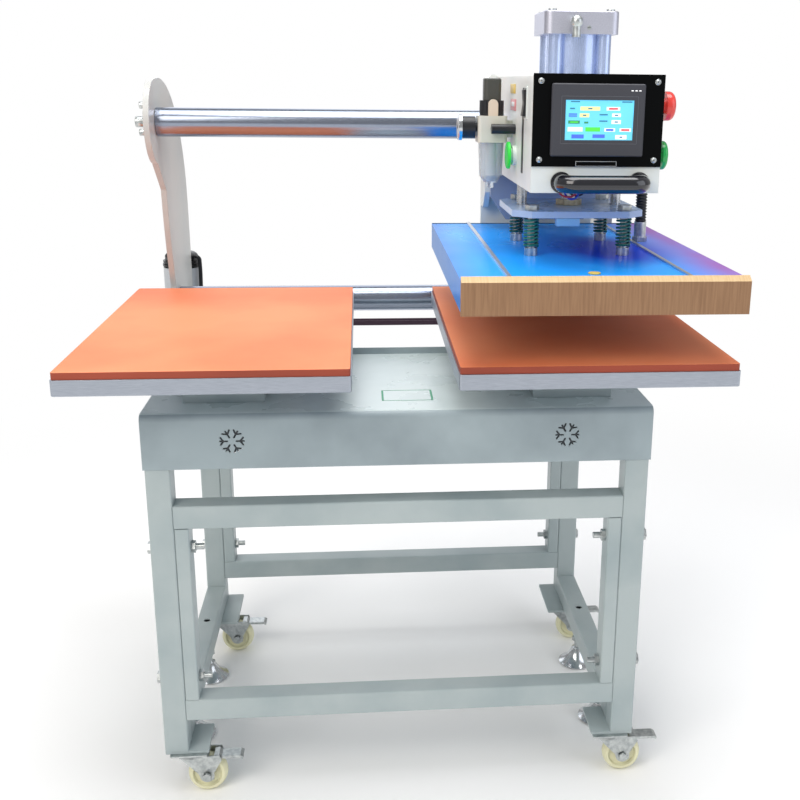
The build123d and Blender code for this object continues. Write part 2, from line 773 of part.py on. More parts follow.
# Motor, standing on the left bracket with its shaft down
with BuildPart() as drive_motor:
    motor_foot = Plane((-motor_x, belt_y, motor_foot_z))
    extrude(disc(motor_foot, motor_radius), amount=motor_body)
    with BuildSketch(Plane((-motor_x, belt_y, motor_foot_z + motor_body), x_dir=(1, 0, 0), z_dir=(0, -1, 0))):
        with BuildLine():
            Polyline(
                (0, 0),
                (motor_radius - 4, 0),
                (motor_radius - 4, 3),
                (motor_radius + 1, 3),
                (motor_radius + 1, 7),
                (motor_radius - 3, 7),
                (motor_radius - 3, 10),
                (motor_radius, 10),
                (motor_radius, 14),
                (motor_radius - 4, 14),
                (motor_radius - 4, motor_cap - 8),
            )
            cap_shoulder = (motor_radius - 4, motor_cap - 8)
            ThreePointArc(cap_shoulder, (motor_radius - 9, motor_cap - 2), (motor_radius - 20, motor_cap))
            Polyline((motor_radius - 20, motor_cap), (0, motor_cap), (0, 0))
        make_face()
    revolve(axis=Axis((-motor_x, belt_y, 0), (0, 0, 1)))
    shaft = disc(Plane((-motor_x, belt_y, belt_z - belt_width)), motor_shaft_radius)
    extrude(shaft, amount=motor_foot_z - belt_z + belt_width)
    cable_gland = along_x(-motor_x + 6, cable_y, cable_top_z)
    extrude(disc(cable_gland, cable_radius + 1.5), amount=cable_exit - weld_gap + motor_x - 6)
drive_motor.part.label = "drive_motor"
export_step(drive_motor.part, "parts/drive_motor.step")

# Motor cable: out of the cap's shoulder, over and down to the bracket
with BuildPart() as motor_cable:
    with BuildLine() as cable_line:
        FilletPolyline(*cable_route, radius=cable_radii)
    with BuildSketch(Plane(cable_route[0], z_dir=(1, 0, 0))):
        Circle(cable_radius)
    sweep()
motor_cable.part.label = "motor_cable"
export_step(motor_cable.part, "parts/motor_cable.step")

# Pulleys: flanged and toothed, on vertical shafts
for name, pulley_x in (("drive_pulley", -motor_x), ("idler_pulley", motor_x)):
    groove_half = belt_width / 2 + loose_fit
    with BuildPart() as pulley:
        pulley_foot = Plane((pulley_x, belt_y, belt_z - groove_half - 1))
        extrude(disc(pulley_foot, pulley_radius), amount=2 * groove_half + 2)
        for flange_z in (belt_z - groove_half - 1, belt_z + groove_half):
            extrude(disc(Plane((pulley_x, belt_y, flange_z)), pulley_flange_radius), amount=1)
        with BuildSketch(Plane((pulley_x, belt_y, belt_z - groove_half))):
            with PolarLocations(pulley_radius, pulley_teeth):
                Circle(0.8)
        extrude(amount=2 * groove_half, mode=Mode.SUBTRACT)
        shaft_hole = disc(pulley_foot, motor_shaft_radius + running_fit)
        extrude(shaft_hole, amount=2 * groove_half + 2, mode=Mode.SUBTRACT)
    pulley.part.label = name
    export_step(pulley.part, f"parts/{name}.step")

# Belt round both pulleys
belt_inner = pulley_radius + loose_fit
with BuildPart() as drive_belt:
    with BuildSketch(Plane((0, belt_y, belt_z - belt_width / 2))):
        SlotCenterToCenter(2 * motor_x, 2 * (belt_inner + belt_thick))
        SlotCenterToCenter(2 * motor_x, 2 * belt_inner, mode=Mode.SUBTRACT)
    extrude(amount=belt_width)
drive_belt.part.label = "drive_belt"
export_step(drive_belt.part, "parts/drive_belt.step")

# Carriage: bearing block on the upper bar, cheeks, rear plate, lower block, web, arm, belt clamp
carriage_left = press_x - carriage_half
carriage_right = press_x + carriage_half
bush_outer = bar_radius + running_fit + bush_wall
rear_plate_back = rear_plate_y + rear_plate_thick
with BuildPart() as carriage:
    with BuildSketch(Plane((0, block_front_y, 0), x_dir=(1, 0, 0), z_dir=(0, -1, 0))):
        with Locations((press_x, (block_bottom_z + block_top_z) / 2)):
            RectangleRounded(2 * carriage_half, block_top_z - block_bottom_z, block_corner)
    extrude(amount=-block_depth)
    # Cheeks from the block back to the rear plate
    for cheek_x in (carriage_left + 2, carriage_right - 2 - cheek_thick):
        with BuildSketch(along_x(cheek_x, 0, 0)):
            with BuildLine():
                cheek_front = block_front_y + block_depth / 2
                Polyline(
                    (cheek_front, block_bottom_z + 20),
                    (cheek_front, cheek_bottom_z + 30),
                    (cheek_front + 30, cheek_bottom_z),
                    (rear_plate_y + 5, cheek_bottom_z),
                    (rear_plate_y + 5, cheek_top_z),
                    (cheek_front, cheek_top_z + 30),
                    (cheek_front, block_bottom_z + 20),
                )
            make_face()
        extrude(amount=cheek_thick)
    with BuildSketch(along_y(press_x, rear_plate_y, 0)):
        with Locations((0, (lower_block_bottom_z + cheek_top_z) / 2)):
            Rectangle(2 * carriage_half - 4, cheek_top_z - lower_block_bottom_z)
    extrude(amount=rear_plate_thick)
    with BuildSketch(along_y(press_x, rear_plate_back, 0)):
        with Locations((0, (lower_block_bottom_z + lower_block_top_z) / 2)):
            Rectangle(2 * carriage_half - 4, lower_block_top_z - lower_block_bottom_z)
    extrude(amount=lower_block_depth)
    # Web plate under the block, its lower corners cut off
    with BuildSketch(along_y(press_x, web_y, 0)):
        with BuildLine():
            Polyline(
                (-web_half + 20, block_bottom_z + 5),
                (-web_half + 20, block_bottom_z - 25),
                (-web_half, block_bottom_z - 43),
                (-web_half, web_bottom_z + web_corner_rise),
                (-web_half + web_corner, web_bottom_z),
                (web_half - web_corner, web_bottom_z),
                (web_half, web_bottom_z + web_corner_rise),
                (web_half, block_bottom_z - 43),
                (web_half - 20, block_bottom_z - 25),
                (web_half - 20, block_bottom_z + 5),
                (-web_half + 20, block_bottom_z + 5),
            )
        make_face()
    extrude(amount=web_thick)
    # Arm that carries the cylinder
    with BuildSketch(Plane.XY.offset(arm_bottom_z)):
        arm_length = block_front_y + block_depth - arm_front_y
        with Locations((press_x, arm_front_y + arm_length / 2)):
            Rectangle(2 * arm_half, arm_length)
    extrude(amount=arm_thick)
    # Belt clamp: a tongue from the lower block with one jaw each side of the belt's front run
    run_front = belt_y - belt_inner - belt_thick
    run_back = belt_y - belt_inner
    tongue_y = rear_plate_back + lower_block_depth
    tongue_end = run_back + loose_fit + jaw_thick
    with BuildSketch(Plane.XY.offset(lower_block_bottom_z)):
        with Locations((press_x, (tongue_y - 5 + tongue_end) / 2)):
            Rectangle(2 * clamp_half, tongue_end - tongue_y + 5)
    extrude(amount=6)
    for jaw_y in (run_front - loose_fit - jaw_thick, run_back + loose_fit):
        with BuildSketch(Plane.XY.offset(belt_z - belt_width / 2 - 2)):
            with Locations((press_x, jaw_y + jaw_thick / 2)):
                Rectangle(2 * clamp_half, jaw_thick)
        extrude(amount=lower_block_bottom_z + 3 - belt_z + belt_width / 2 + 2)
    # Bores for the bushes, the rod and the guide rods
    for bar_y, bar_z in ((upper_bar_y, upper_bar_z), (lower_bar_y, lower_bar_z)):
        bore = disc(along_x(carriage_left - 1, bar_y, bar_z), bush_outer)
        extrude(bore, amount=2 * carriage_half + 2, mode=Mode.SUBTRACT)
    rod_hole = disc(Plane((press_x, press_y, arm_bottom_z - 1)), rod_radius + running_fit)
    extrude(rod_hole, amount=arm_thick + 2, mode=Mode.SUBTRACT)
    for side in (-1, 1):
        guide_place = Plane((press_x + side * guide_rod_offset, press_y, arm_bottom_z - 1))
        extrude(
            disc(guide_place, guide_rod_radius + running_fit), amount=arm_thick + 2, mode=Mode.SUBTRACT
        )
carriage.part.label = "carriage"
export_step(carriage.part, "parts/carriage.step")

# Bushes: two in each bearing block
with BuildPart() as bushes:
    for bar_y, bar_z, inset in ((upper_bar_y, upper_bar_z, 0), (lower_bar_y, lower_bar_z, 2)):
        for bush_x in (carriage_left + inset, carriage_right - inset - bush_length):
            with BuildSketch(along_x(bush_x, bar_y, bar_z)):
                Circle(bush_outer - 0.02)
                Circle(bar_radius + running_fit, mode=Mode.SUBTRACT)
            extrude(amount=bush_length)
bushes.part.label = "bushes"
export_step(bushes.part, "parts/bushes.step")

# Press cylinder: foot, lobed barrel and cap, with its bore
with BuildPart() as cylinder:
    for cap_z in (cylinder_foot_z, cylinder_top_z - cylinder_cap):
        with BuildSketch(Plane.XY.offset(cap_z)):
            with Locations((press_x, press_y)):
                RectangleRounded(cylinder_cap_side, cylinder_cap_side, cylinder_cap_corner)
        extrude(amount=cylinder_cap)
    with BuildSketch(Plane.XY.offset(cylinder_foot_z + cylinder_cap)):
        with Locations((press_x, press_y)):
            Circle(barrel_radius)
            with GridLocations(2 * barrel_lobe_offset, 2 * barrel_lobe_offset, 2, 2):
                Circle(barrel_lobe_radius)
    extrude(amount=cylinder_barrel)
    chamfer(cylinder.faces().sort_by(Axis.Z)[-1].edges(), length=1.5)
    bore = disc(Plane((press_x, press_y, cylinder_foot_z + cylinder_cap)), cylinder_bore)
    extrude(bore, amount=cylinder_barrel, mode=Mode.SUBTRACT)
    rod_hole = disc(Plane((press_x, press_y, cylinder_foot_z - 1)), rod_radius + running_fit)
    extrude(rod_hole, amount=cylinder_cap + 2, mode=Mode.SUBTRACT)
cylinder.part.label = "cylinder"
export_step(cylinder.part, "parts/cylinder.step")

# Rods of the press: the piston rod with its nut and flange, and two guide rods
piston_z = cylinder_foot_z + cylinder_cap + cylinder_barrel - piston_thick - 4
rod_bottom_z = spring_plate_z - 12
plate_top_z = spring_plate_z + spring_plate_thick
with BuildPart() as press_rods:
    extrude(disc(Plane((press_x, press_y, rod_bottom_z)), rod_radius), amount=piston_z - rod_bottom_z)
    piston = disc(Plane((press_x, press_y, piston_z)), cylinder_bore - running_fit)
    extrude(piston, amount=piston_thick)
    extrude(hexagon(Plane((press_x, press_y, plate_top_z + weld_gap)), 36), amount=9)
    extrude(disc(Plane((press_x, press_y, rod_bottom_z)), 18), amount=12 - weld_gap)
    for side in (-1, 1):
        guide_x = press_x + side * guide_rod_offset
        guide_start = spring_plate_z + 2
        guide = disc(Plane((guide_x, press_y, guide_start)), guide_rod_radius)
        extrude(guide, amount=guide_rod_top_z - guide_start)
press_rods.part.label = "press_rods"
export_step(press_rods.part, "parts/press_rods.step")

# Spring plate with its corners cut off
with BuildPart() as spring_plate:
    with BuildSketch(Plane.XY.offset(spring_plate_z)):
        with Locations((press_x, press_y)):
            outline = Rectangle(spring_plate_width, spring_plate_depth)
        chamfer(outline.vertices(), length=spring_plate_corner)
        with Locations((press_x, press_y)):
            Circle(rod_radius + weld_gap, mode=Mode.SUBTRACT)
            with GridLocations(2 * stud_dx, 2 * stud_dy, 2, 2):
                Circle(stud_radius + running_fit, mode=Mode.SUBTRACT)
    extrude(amount=spring_plate_thick)
    for side in (-1, 1):
        socket = Plane((press_x + side * guide_rod_offset, press_y, plate_top_z))
        extrude(disc(socket, guide_rod_radius + weld_gap), amount=-8 - weld_gap, mode=Mode.SUBTRACT)
spring_plate.part.label = "spring_plate"
export_step(spring_plate.part, "parts/spring_plate.step")

# Studs of the heat platen: hex head over the spring plate, shank inside the spring, foot on the cover
with BuildPart() as spring_studs:
    for stud_x, stud_y in stud_places:
        foot_z = cover_top_z + weld_gap
        extrude(disc(Plane((stud_x, stud_y, foot_z)), stud_foot_radius), amount=stud_foot)
        extrude(
            disc(Plane((stud_x, stud_y, foot_z)), stud_radius), amount=plate_top_z + 4 - foot_z
        )
        head = Plane((stud_x, stud_y, plate_top_z + weld_gap))
        extrude(hexagon(head, stud_head_flat), amount=stud_head)
spring_studs.part.label = "spring_studs"
export_step(spring_studs.part, "parts/spring_studs.step")


def helix_point(angle, rise_per_radian):
    """A point of the spring's centre line and the line's direction there."""
    radius = spring_mean_radius
    point = Vector(radius * math.cos(angle), radius * math.sin(angle), angle * rise_per_radian)
    heading = Vector(-radius * math.sin(angle), radius * math.cos(angle), rise_per_radian).normalized()
    return point, heading


def biarc_joint(start, start_heading, end, end_heading):
    """The point where two arcs that share a tangent meet between two points."""
    chord = end - start
    headings = start_heading + end_heading
    slack = 2 * (1 - start_heading.dot(end_heading))
    along = chord.dot(headings)
    reach = (math.sqrt(along**2 + slack * chord.dot(chord)) - along) / slack
    return (start + start_heading * reach + end - end_heading * reach) / 2


# Springs: one unbroken wire each, in biarcs of a quarter turn
spring_foot_z = cover_top_z + weld_gap + stud_foot + spring_wire_radius + weld_gap
spring_rise = spring_plate_z - weld_gap - spring_wire_radius - spring_foot_z
rise_per_radian = spring_rise / (2 * math.pi * spring_turns)
quarter = math.pi / 2
with BuildPart() as springs:
    for stud_x, stud_y in stud_places:
        base = Vector(stud_x, stud_y, spring_foot_z)
        with BuildLine(mode=Mode.PRIVATE) as wire_line:
            for step in range(4 * spring_turns):
                start, start_heading = helix_point(step * quarter, rise_per_radian)
                finish, end_heading = helix_point((step + 1) * quarter, rise_per_radian)
                joint = biarc_joint(start, start_heading, finish, end_heading)
                first = TangentArc(base + start, base + joint, tangent=start_heading)
                TangentArc(base + joint, base + finish, tangent=first % 1)
        root, root_heading = helix_point(0, rise_per_radian)
        with BuildSketch(Plane(base + root, z_dir=root_heading), mode=Mode.PRIVATE) as wire_section:
            Circle(spring_wire_radius)
        sweep(wire_section.sketch, path=wire_line.wire())
springs.part.label = "springs"
export_step(springs.part, "parts/springs.step")
wire_gap = spring_rise / spring_turns - 2 * spring_wire_radius
print("least gap between the spring's curls, mm:", round(wire_gap, 2))

# Heat block: the cast plate with a boss under each stud
heat_left = press_x - platen_width / 2
with BuildPart() as heat_block:
    with BuildSketch(Plane.XY.offset(heat_bottom_z)):
        with Locations((press_x, heat_front_y + front_bar_thick + (platen_depth - front_bar_thick) / 2)):
            Rectangle(
                platen_width - 2 * heat_inset, platen_depth - front_bar_thick - 2 * heat_inset
            )
    extrude(amount=heat_plate_thick)
    for stud_x, stud_y in stud_places:
        boss = disc(Plane((stud_x, stud_y, heat_bottom_z + heat_plate_thick)), boss_radius)
        extrude(boss, amount=cover_top_z - cover_sheet - weld_gap - heat_bottom_z - heat_plate_thick)
heat_block.part.label = "heat_block"
export_step(heat_block.part, "parts/heat_block.step")

# Heat cover: a sheet tray over the block, the front bar and two raised strips
with BuildPart() as heat_cover:
    cover_y = heat_front_y + front_bar_thick + weld_gap
    cover_length = platen_depth - front_bar_thick - weld_gap
    with BuildSketch(Plane.XY.offset(cover_bottom_z)):
        with Locations((press_x, cover_y + cover_length / 2)):
            Rectangle(platen_width, cover_length)
    extrude(amount=cover_top_z - cover_bottom_z)
    offset(amount=-cover_sheet, openings=heat_cover.faces().sort_by(Axis.Z)[0], mode=Mode.REPLACE)
    for strip_x in strip_places:
        with BuildSketch(Plane.XY.offset(cover_top_z)):
            with Locations((press_x + strip_x, cover_y + cover_length / 2)):
                Rectangle(strip_width, cover_length)
        extrude(amount=strip_height)
    with BuildSketch(along_x(heat_left, 0, 0)):
        with BuildLine():
            Polyline(
                (heat_front_y, heat_bottom_z),
                (heat_front_y, front_bar_top_z),
                (heat_front_y + front_bar_thick, front_bar_top_z + front_bar_rise),
                (heat_front_y + front_bar_thick, heat_bottom_z),
                (heat_front_y, heat_bottom_z),
            )
        make_face()
    extrude(amount=platen_width)
heat_cover.part.label = "heat_cover"
export_step(heat_cover.part, "parts/heat_cover.step")

# Gland on the cover that holds the conduit
with BuildPart() as conduit_gland:
    gland_foot = Plane((conduit_x, conduit_y, cover_top_z + weld_gap))
    extrude(hexagon(gland_foot, 2 * gland_radius), amount=8)
    extrude(disc(gland_foot, gland_radius - 1), amount=gland_height)
conduit_gland.part.label = "conduit_gland"
export_step(conduit_gland.part, "parts/conduit_gland.step")

# Conduit: a ribbed hose from the gland up to the elbow on the housing
conduit_foot_z = cover_top_z + 2 * weld_gap + gland_height
rib_count = int((conduit_top_z - conduit_foot_z) / conduit_pitch)
rib_pitch = (conduit_top_z - conduit_foot_z) / rib_count
conduit_sections = []
for rib in range(rib_count):
    rib_z = conduit_foot_z + rib * rib_pitch
    for share, radius in (
        (0, conduit_root_radius),
        (0.25, conduit_radius),
        (0.5, conduit_radius),
        (0.75, conduit_root_radius),
    ):
        conduit_sections.append(disc(Plane((conduit_x, conduit_y, rib_z + share * rib_pitch)), radius))
conduit_sections.append(disc(Plane((conduit_x, conduit_y, conduit_top_z)), conduit_root_radius))
with BuildPart() as conduit:
    loft(conduit_sections, ruled=True)
    bore = disc(Plane((conduit_x, conduit_y, conduit_foot_z)), conduit_bore)
    extrude(bore, amount=conduit_top_z - conduit_foot_z, mode=Mode.SUBTRACT)
conduit.part.label = "conduit"
export_step(conduit.part, "parts/conduit.step")
print("conduit ribs:", rib_count)

# Head housing: a folded shell with cut-outs for the cylinder, rods, arm, screen and buttons
housing_width = housing_right - housing_left
housing_height = housing_top_z - housing_bottom_z
housing_depth = housing_rear_y - housing_front_y
with BuildPart() as housing_room:
    with BuildSketch(Plane.XY.offset(housing_bottom_z)):
        with Locations((housing_x, housing_front_y + housing_depth / 2)):
            Rectangle(housing_width, housing_depth)
    extrude(amount=housing_height)
    room_sides = housing_room.edges().filter_by(Axis.Y).group_by(Axis.Z)[-1]
    fillet(room_sides, radius=housing_edge)
    offset(amount=-housing_sheet, openings=[], mode=Mode.REPLACE)
with BuildPart() as head_housing:
    with BuildSketch(Plane.XY.offset(housing_bottom_z)):
        with Locations((housing_x, housing_front_y + housing_depth / 2)):
            Rectangle(housing_width, housing_depth)
    extrude(amount=housing_height)
    top_sides = head_housing.edges().filter_by(Axis.Y).group_by(Axis.Z)[-1]
    fillet(top_sides, radius=housing_edge)
    add(housing_room.part, mode=Mode.SUBTRACT)
    # Collar of the left start button and the rocker's frame
    collar = Plane((housing_left, start_left_y, start_left_z), x_dir=(0, 1, 0), z_dir=(-1, 0, 0))
    extrude(disc(collar, collar_radius), amount=collar_height)
    with BuildSketch(along_x(housing_left, rocker_y, rocker_z)):
        RectangleRounded(rocker_width + 6, rocker_height + 6, 2)
    extrude(amount=-rocker_frame)
    with BuildSketch(along_x(housing_left - 2 * rocker_frame, rocker_y, rocker_z)):
        Rectangle(rocker_width + 2 * loose_fit, rocker_height + 2 * loose_fit)
    extrude(amount=2 * rocker_frame + 2 * housing_sheet, mode=Mode.SUBTRACT)
    extrude(
        disc(collar.offset(collar_height), button_neck_radius + loose_fit),
        amount=-collar_height - 2 * housing_sheet,
        mode=Mode.SUBTRACT,
    )
    for button_y, button_z in ((stop_button_y, stop_button_z), (start_right_y, start_right_z)):
        wall = along_x(housing_right - 2 * housing_sheet, button_y, button_z)
        hole = disc(wall, button_neck_radius + loose_fit)
        extrude(hole, amount=3 * housing_sheet, mode=Mode.SUBTRACT)
    # Top cut-out for the cylinder
    with BuildSketch(Plane.XY.offset(housing_top_z - 2 * housing_sheet)):
        with Locations((press_x, press_y)):
            top_opening = 2 * (barrel_lobe_offset + barrel_lobe_radius) + 4
            RectangleRounded(top_opening, top_opening, cylinder_cap_corner)
    extrude(amount=3 * housing_sheet, mode=Mode.SUBTRACT)
    # Bottom cut-out for the rods
    with BuildSketch(Plane.XY.offset(housing_bottom_z - housing_sheet)):
        with Locations((press_x, press_y)):
            SlotCenterToCenter(2 * guide_rod_offset, 2 * guide_rod_radius + 6)
            Circle(rod_radius + 4)
    extrude(amount=3 * housing_sheet, mode=Mode.SUBTRACT)
    # Rear cut-out for the arm
    arm_middle_z = (arm_bottom_z + block_bottom_z) / 2
    with BuildSketch(along_y(press_x, housing_rear_y - 2 * housing_sheet, arm_middle_z)):
        Rectangle(2 * arm_half + 4, arm_thick + 6)
    extrude(amount=3 * housing_sheet, mode=Mode.SUBTRACT)
    # Front cut-out behind the screen
    with BuildSketch(along_y(screen_center_x, housing_front_y - housing_sheet, screen_center_z)):
        Rectangle(screen_back_width + 4, screen_back_height + 4)
    extrude(amount=3 * housing_sheet, mode=Mode.SUBTRACT)
head_housing.part.label = "head_housing"
export_step(head_housing.part, "parts/head_housing.step")

# Front panel with its window for the screen
with BuildPart() as front_panel:
    with BuildSketch(along_y(housing_x, housing_front_y - panel_thick, (panel_bottom_z + housing_top_z) / 2)):
        Rectangle(housing_width, housing_top_z - panel_bottom_z)
    extrude(amount=panel_thick - weld_gap)
    with BuildSketch(along_y(screen_center_x, housing_front_y - 2 * panel_thick, screen_center_z)):
        Rectangle(screen_back_width + 4, screen_back_height + 4)
    extrude(amount=3 * panel_thick, mode=Mode.SUBTRACT)
front_panel.part.label = "front_panel"
export_step(front_panel.part, "parts/front_panel.step")

# Operator screen: a bezel with its recessed display, and the body behind the panel
panel_face_y = housing_front_y - panel_thick - weld_gap
with BuildPart() as touch_screen:
    with BuildSketch(along_y(screen_center_x, panel_face_y - screen_thick, screen_center_z)):
        RectangleRounded(screen_width, screen_height, 3)
    extrude(amount=screen_thick)
    chamfer(touch_screen.faces().sort_by(Axis.Y)[0].edges(), length=1.5)
    with BuildSketch(along_y(screen_center_x, panel_face_y, screen_center_z)):
        Rectangle(screen_back_width, screen_back_height)
    extrude(amount=screen_back_depth)
    display_x = screen_center_x + display_drop_x
    display_z = screen_center_z + display_drop_z
    with BuildSketch(along_y(display_x, panel_face_y - screen_thick - 1, display_z)):
        Rectangle(display_width, display_height)
    extrude(amount=2, mode=Mode.SUBTRACT)
touch_screen.part.label = "touch_screen"
export_step(touch_screen.part, "parts/touch_screen.step")

# Handle: a bent bar on two flanges
handle_y = housing_front_y - handle_reach
with BuildPart() as handle:
    with BuildLine():
        FilletPolyline(
            (handle_x - handle_half, housing_front_y - weld_gap, handle_z),
            (handle_x - handle_half, handle_y, handle_z),
            (handle_x + handle_half, handle_y, handle_z),
            (handle_x + handle_half, housing_front_y - weld_gap, handle_z),
            radius=handle_bend,
        )
    with BuildSketch(
        Plane((handle_x - handle_half, housing_front_y - weld_gap, handle_z), z_dir=(0, -1, 0))
    ):
        Circle(handle_radius)
    sweep()
    for side in (-1, 1):
        flange = Plane(
            (handle_x + side * handle_half, housing_front_y - weld_gap, handle_z), z_dir=(0, -1, 0)
        )
        extrude(disc(flange, handle_flange_radius), amount=handle_flange)
handle.part.label = "handle"
export_step(handle.part, "parts/handle.step")

# Buttons: each head on its neck, sliding through the housing's side
for name, side, face_x, button_y, button_z, gap, head in (
    ("stop_button", 1, housing_right, stop_button_y, stop_button_z, stop_button_gap, stop_button_head),
    (
        "start_button_right",
        1,
        housing_right,
        start_right_y,
        start_right_z,
        start_right_gap,
        start_right_head,
    ),
    (
        "start_button_left",
        -1,
        housing_left - collar_height,
        start_left_y,
        start_left_z,
        start_gap,
        start_head,
    ),
):
    with BuildPart() as button:
        neck = Plane(
            (face_x - side * button_inside, button_y, button_z), x_dir=(0, 1, 0), z_dir=(side, 0, 0)
        )
        extrude(disc(neck, button_neck_radius), amount=button_inside + gap)
        extrude(disc(neck.offset(button_inside + gap), button_head_radius), amount=head)
        rim = button.edges().filter_by(GeomType.CIRCLE).sort_by(Axis.X)
        outer_rim = rim[-1] if side > 0 else rim[0]
        fillet(outer_rim, radius=0.6 * head)
    button.part.label = name
    export_step(button.part, f"parts/{name}.step")

# Rocker switch: a shallow prism that tips about its middle
with BuildPart() as rocker_switch:
    rocker_plane = Plane(
        (housing_left, rocker_y - rocker_width / 2, rocker_z), x_dir=(-1, 0, 0), z_dir=(0, 1, 0)
    )
    with BuildSketch(rocker_plane):
        with BuildLine():
            Polyline(
                (-1.5, -rocker_height / 2 + 1.5),
                (rocker_reach, -rocker_height / 2 + 2),
                (rocker_reach - 2.5, 0),
                (rocker_reach - 1, rocker_height / 2 - 2),
                (-1.5, rocker_height / 2 - 1.5),
                (-1.5, -rocker_height / 2 + 1.5),
            )
        make_face()
    extrude(amount=rocker_width)
rocker_switch.part.label = "rocker_switch"
export_step(rocker_switch.part, "parts/rocker_switch.step")

# Filter regulator: body with its ribbed ring and tab, knob, bowl and gauge
regulator_x = regulator_right - regulator_side / 2
with BuildPart() as regulator_body:
    with BuildSketch(Plane.XY.offset(regulator_bottom_z)):
        with Locations((regulator_x, regulator_y)):
            RectangleRounded(regulator_side, regulator_side, 6)
    extrude(amount=regulator_top_z - regulator_bottom_z)
    ring_foot = Plane((regulator_x, regulator_y, regulator_top_z))
    extrude(disc(ring_foot, ring_radius), amount=ring_height)
    with BuildSketch(ring_foot.offset(3)):
        with PolarLocations(ring_radius, 18):
            Circle(1.2)
    extrude(amount=ring_height, mode=Mode.SUBTRACT)
    tab = Plane(
        (regulator_x, regulator_y - ring_radius - 4, regulator_top_z + 10), x_dir=(1, 0, 0), z_dir=(0, 1, 0)
    )
    with BuildSketch(tab):
        SlotOverall(30, 15, rotation=90)
    extrude(amount=6)
    # Arm that holds the regulator to the housing's side
    bracket_y = regulator_y + 8
    bracket_z = (regulator_bottom_z + regulator_top_z) / 2
    with BuildSketch(along_x(regulator_right - 5, bracket_y, bracket_z)):
        Rectangle(18, 26)
    extrude(amount=housing_left - regulator_right + 5 - weld_gap)
    inlet = along_y(regulator_x, regulator_y + regulator_side / 2 - inlet_depth, inlet_z)
    extrude(disc(inlet, inlet_radius), amount=inlet_depth + 1, mode=Mode.SUBTRACT)
regulator_body.part.label = "regulator_body"
export_step(regulator_body.part, "parts/regulator_body.step")

with BuildPart() as regulator_knob:
    knob_foot_z = regulator_top_z + ring_height + loose_fit
    with BuildSketch(Plane.XY.offset(knob_foot_z)):
        with Locations((regulator_x, regulator_y)):
            RectangleRounded(knob_side, knob_side, knob_corner)
    extrude(amount=knob_height)
    chamfer(regulator_knob.faces().sort_by(Axis.Z)[-1].edges(), length=1.5)
regulator_knob.part.label = "regulator_knob"
export_step(regulator_knob.part, "parts/regulator_knob.step")

bowl_top = (regulator_x, regulator_y, regulator_bottom_z - weld_gap)
bowl_plane = Plane(bowl_top, x_dir=(1, 0, 0), z_dir=(0, -1, 0))
with BuildPart() as regulator_bowl:
    with BuildSketch(bowl_plane):
        with BuildLine():
            Polyline(
                (bowl_radius - bowl_wall, 0),
                (bowl_radius, 0),
                (bowl_radius - 2, -bowl_height + 10),
                (bowl_radius - 9, -bowl_height),
                (5, -bowl_height),
                (5, -bowl_height - 9),
                (0, -bowl_height - 9),
                (0, -bowl_height + bowl_wall),
                (bowl_radius - 10, -bowl_height + bowl_wall),
                (bowl_radius - 2 - bowl_wall, -bowl_height + 10),
                (bowl_radius - bowl_wall, 0),
            )
        make_face()
    revolve(axis=Axis((regulator_x, regulator_y, 0), (0, 0, 1)))
regulator_bowl.part.label = "regulator_bowl"
export_step(regulator_bowl.part, "parts/regulator_bowl.step")

with BuildPart() as pressure_gauge:
    regulator_left = regulator_right - regulator_side
    dial = Plane((gauge_left, regulator_y, gauge_z), x_dir=(0, 1, 0), z_dir=(1, 0, 0))
    extrude(disc(dial, gauge_radius), amount=6)
    extrude(disc(dial.offset(6), gauge_case_radius), amount=21)
    extrude(disc(dial.offset(27), 6), amount=regulator_left - gauge_left - 27 - weld_gap)
    chamfer(pressure_gauge.edges().filter_by(GeomType.CIRCLE).sort_by(Axis.X)[0], length=1)
pressure_gauge.part.label = "pressure_gauge"
export_step(pressure_gauge.part, "parts/pressure_gauge.step")

# Fittings: air elbow of the cylinder, air elbow of the regulator, conduit elbow
with BuildPart() as fittings:
    cap_front_y = press_y - cylinder_cap_side / 2 - weld_gap
    port_z = cylinder_top_z - cylinder_cap / 2
    port_x = press_x - port_shift
    port = Plane((port_x, cap_front_y, port_z), x_dir=(1, 0, 0), z_dir=(0, -1, 0))
    extrude(disc(port, 7), amount=12)
    with Locations((port_x, cap_front_y - 14, port_z)):
        Sphere(port_ball_radius)
    extrude(disc(Plane((port_x, cap_front_y - 14, port_z - 22)), 6.5), amount=20)
    regulator_port = Plane(
        (regulator_x + 2, regulator_y - regulator_side / 2 - weld_gap, fitting_z),
        x_dir=(1, 0, 0),
        z_dir=(0, -1, 0),
    )
    extrude(disc(regulator_port, 6), amount=12)
    elbow_y = regulator_y - regulator_side / 2 - weld_gap - 12
    elbow_start = regulator_x - 4
    extrude(
        disc(along_x(elbow_start, elbow_y, fitting_z), 7.5), amount=housing_left - weld_gap - elbow_start
    )
    elbow_foot = Plane((conduit_x, conduit_y, conduit_top_z + weld_gap))
    extrude(disc(elbow_foot, gland_radius), amount=elbow_height)
    side_arm = along_x(housing_right + weld_gap, conduit_y, conduit_top_z + elbow_height / 2)
    extrude(disc(side_arm, gland_radius - 3), amount=conduit_x - housing_right - weld_gap)
fittings.part.label = "fittings"
export_step(fittings.part, "parts/fittings.step")
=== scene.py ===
"""Looks of a pneumatic heat press with a sliding head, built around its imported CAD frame."""

import logging
import math
from dataclasses import dataclass
from enum import Enum
from typing import Callable, Optional, Sequence

import bmesh
import bpy
from mathutils import Matrix, Vector


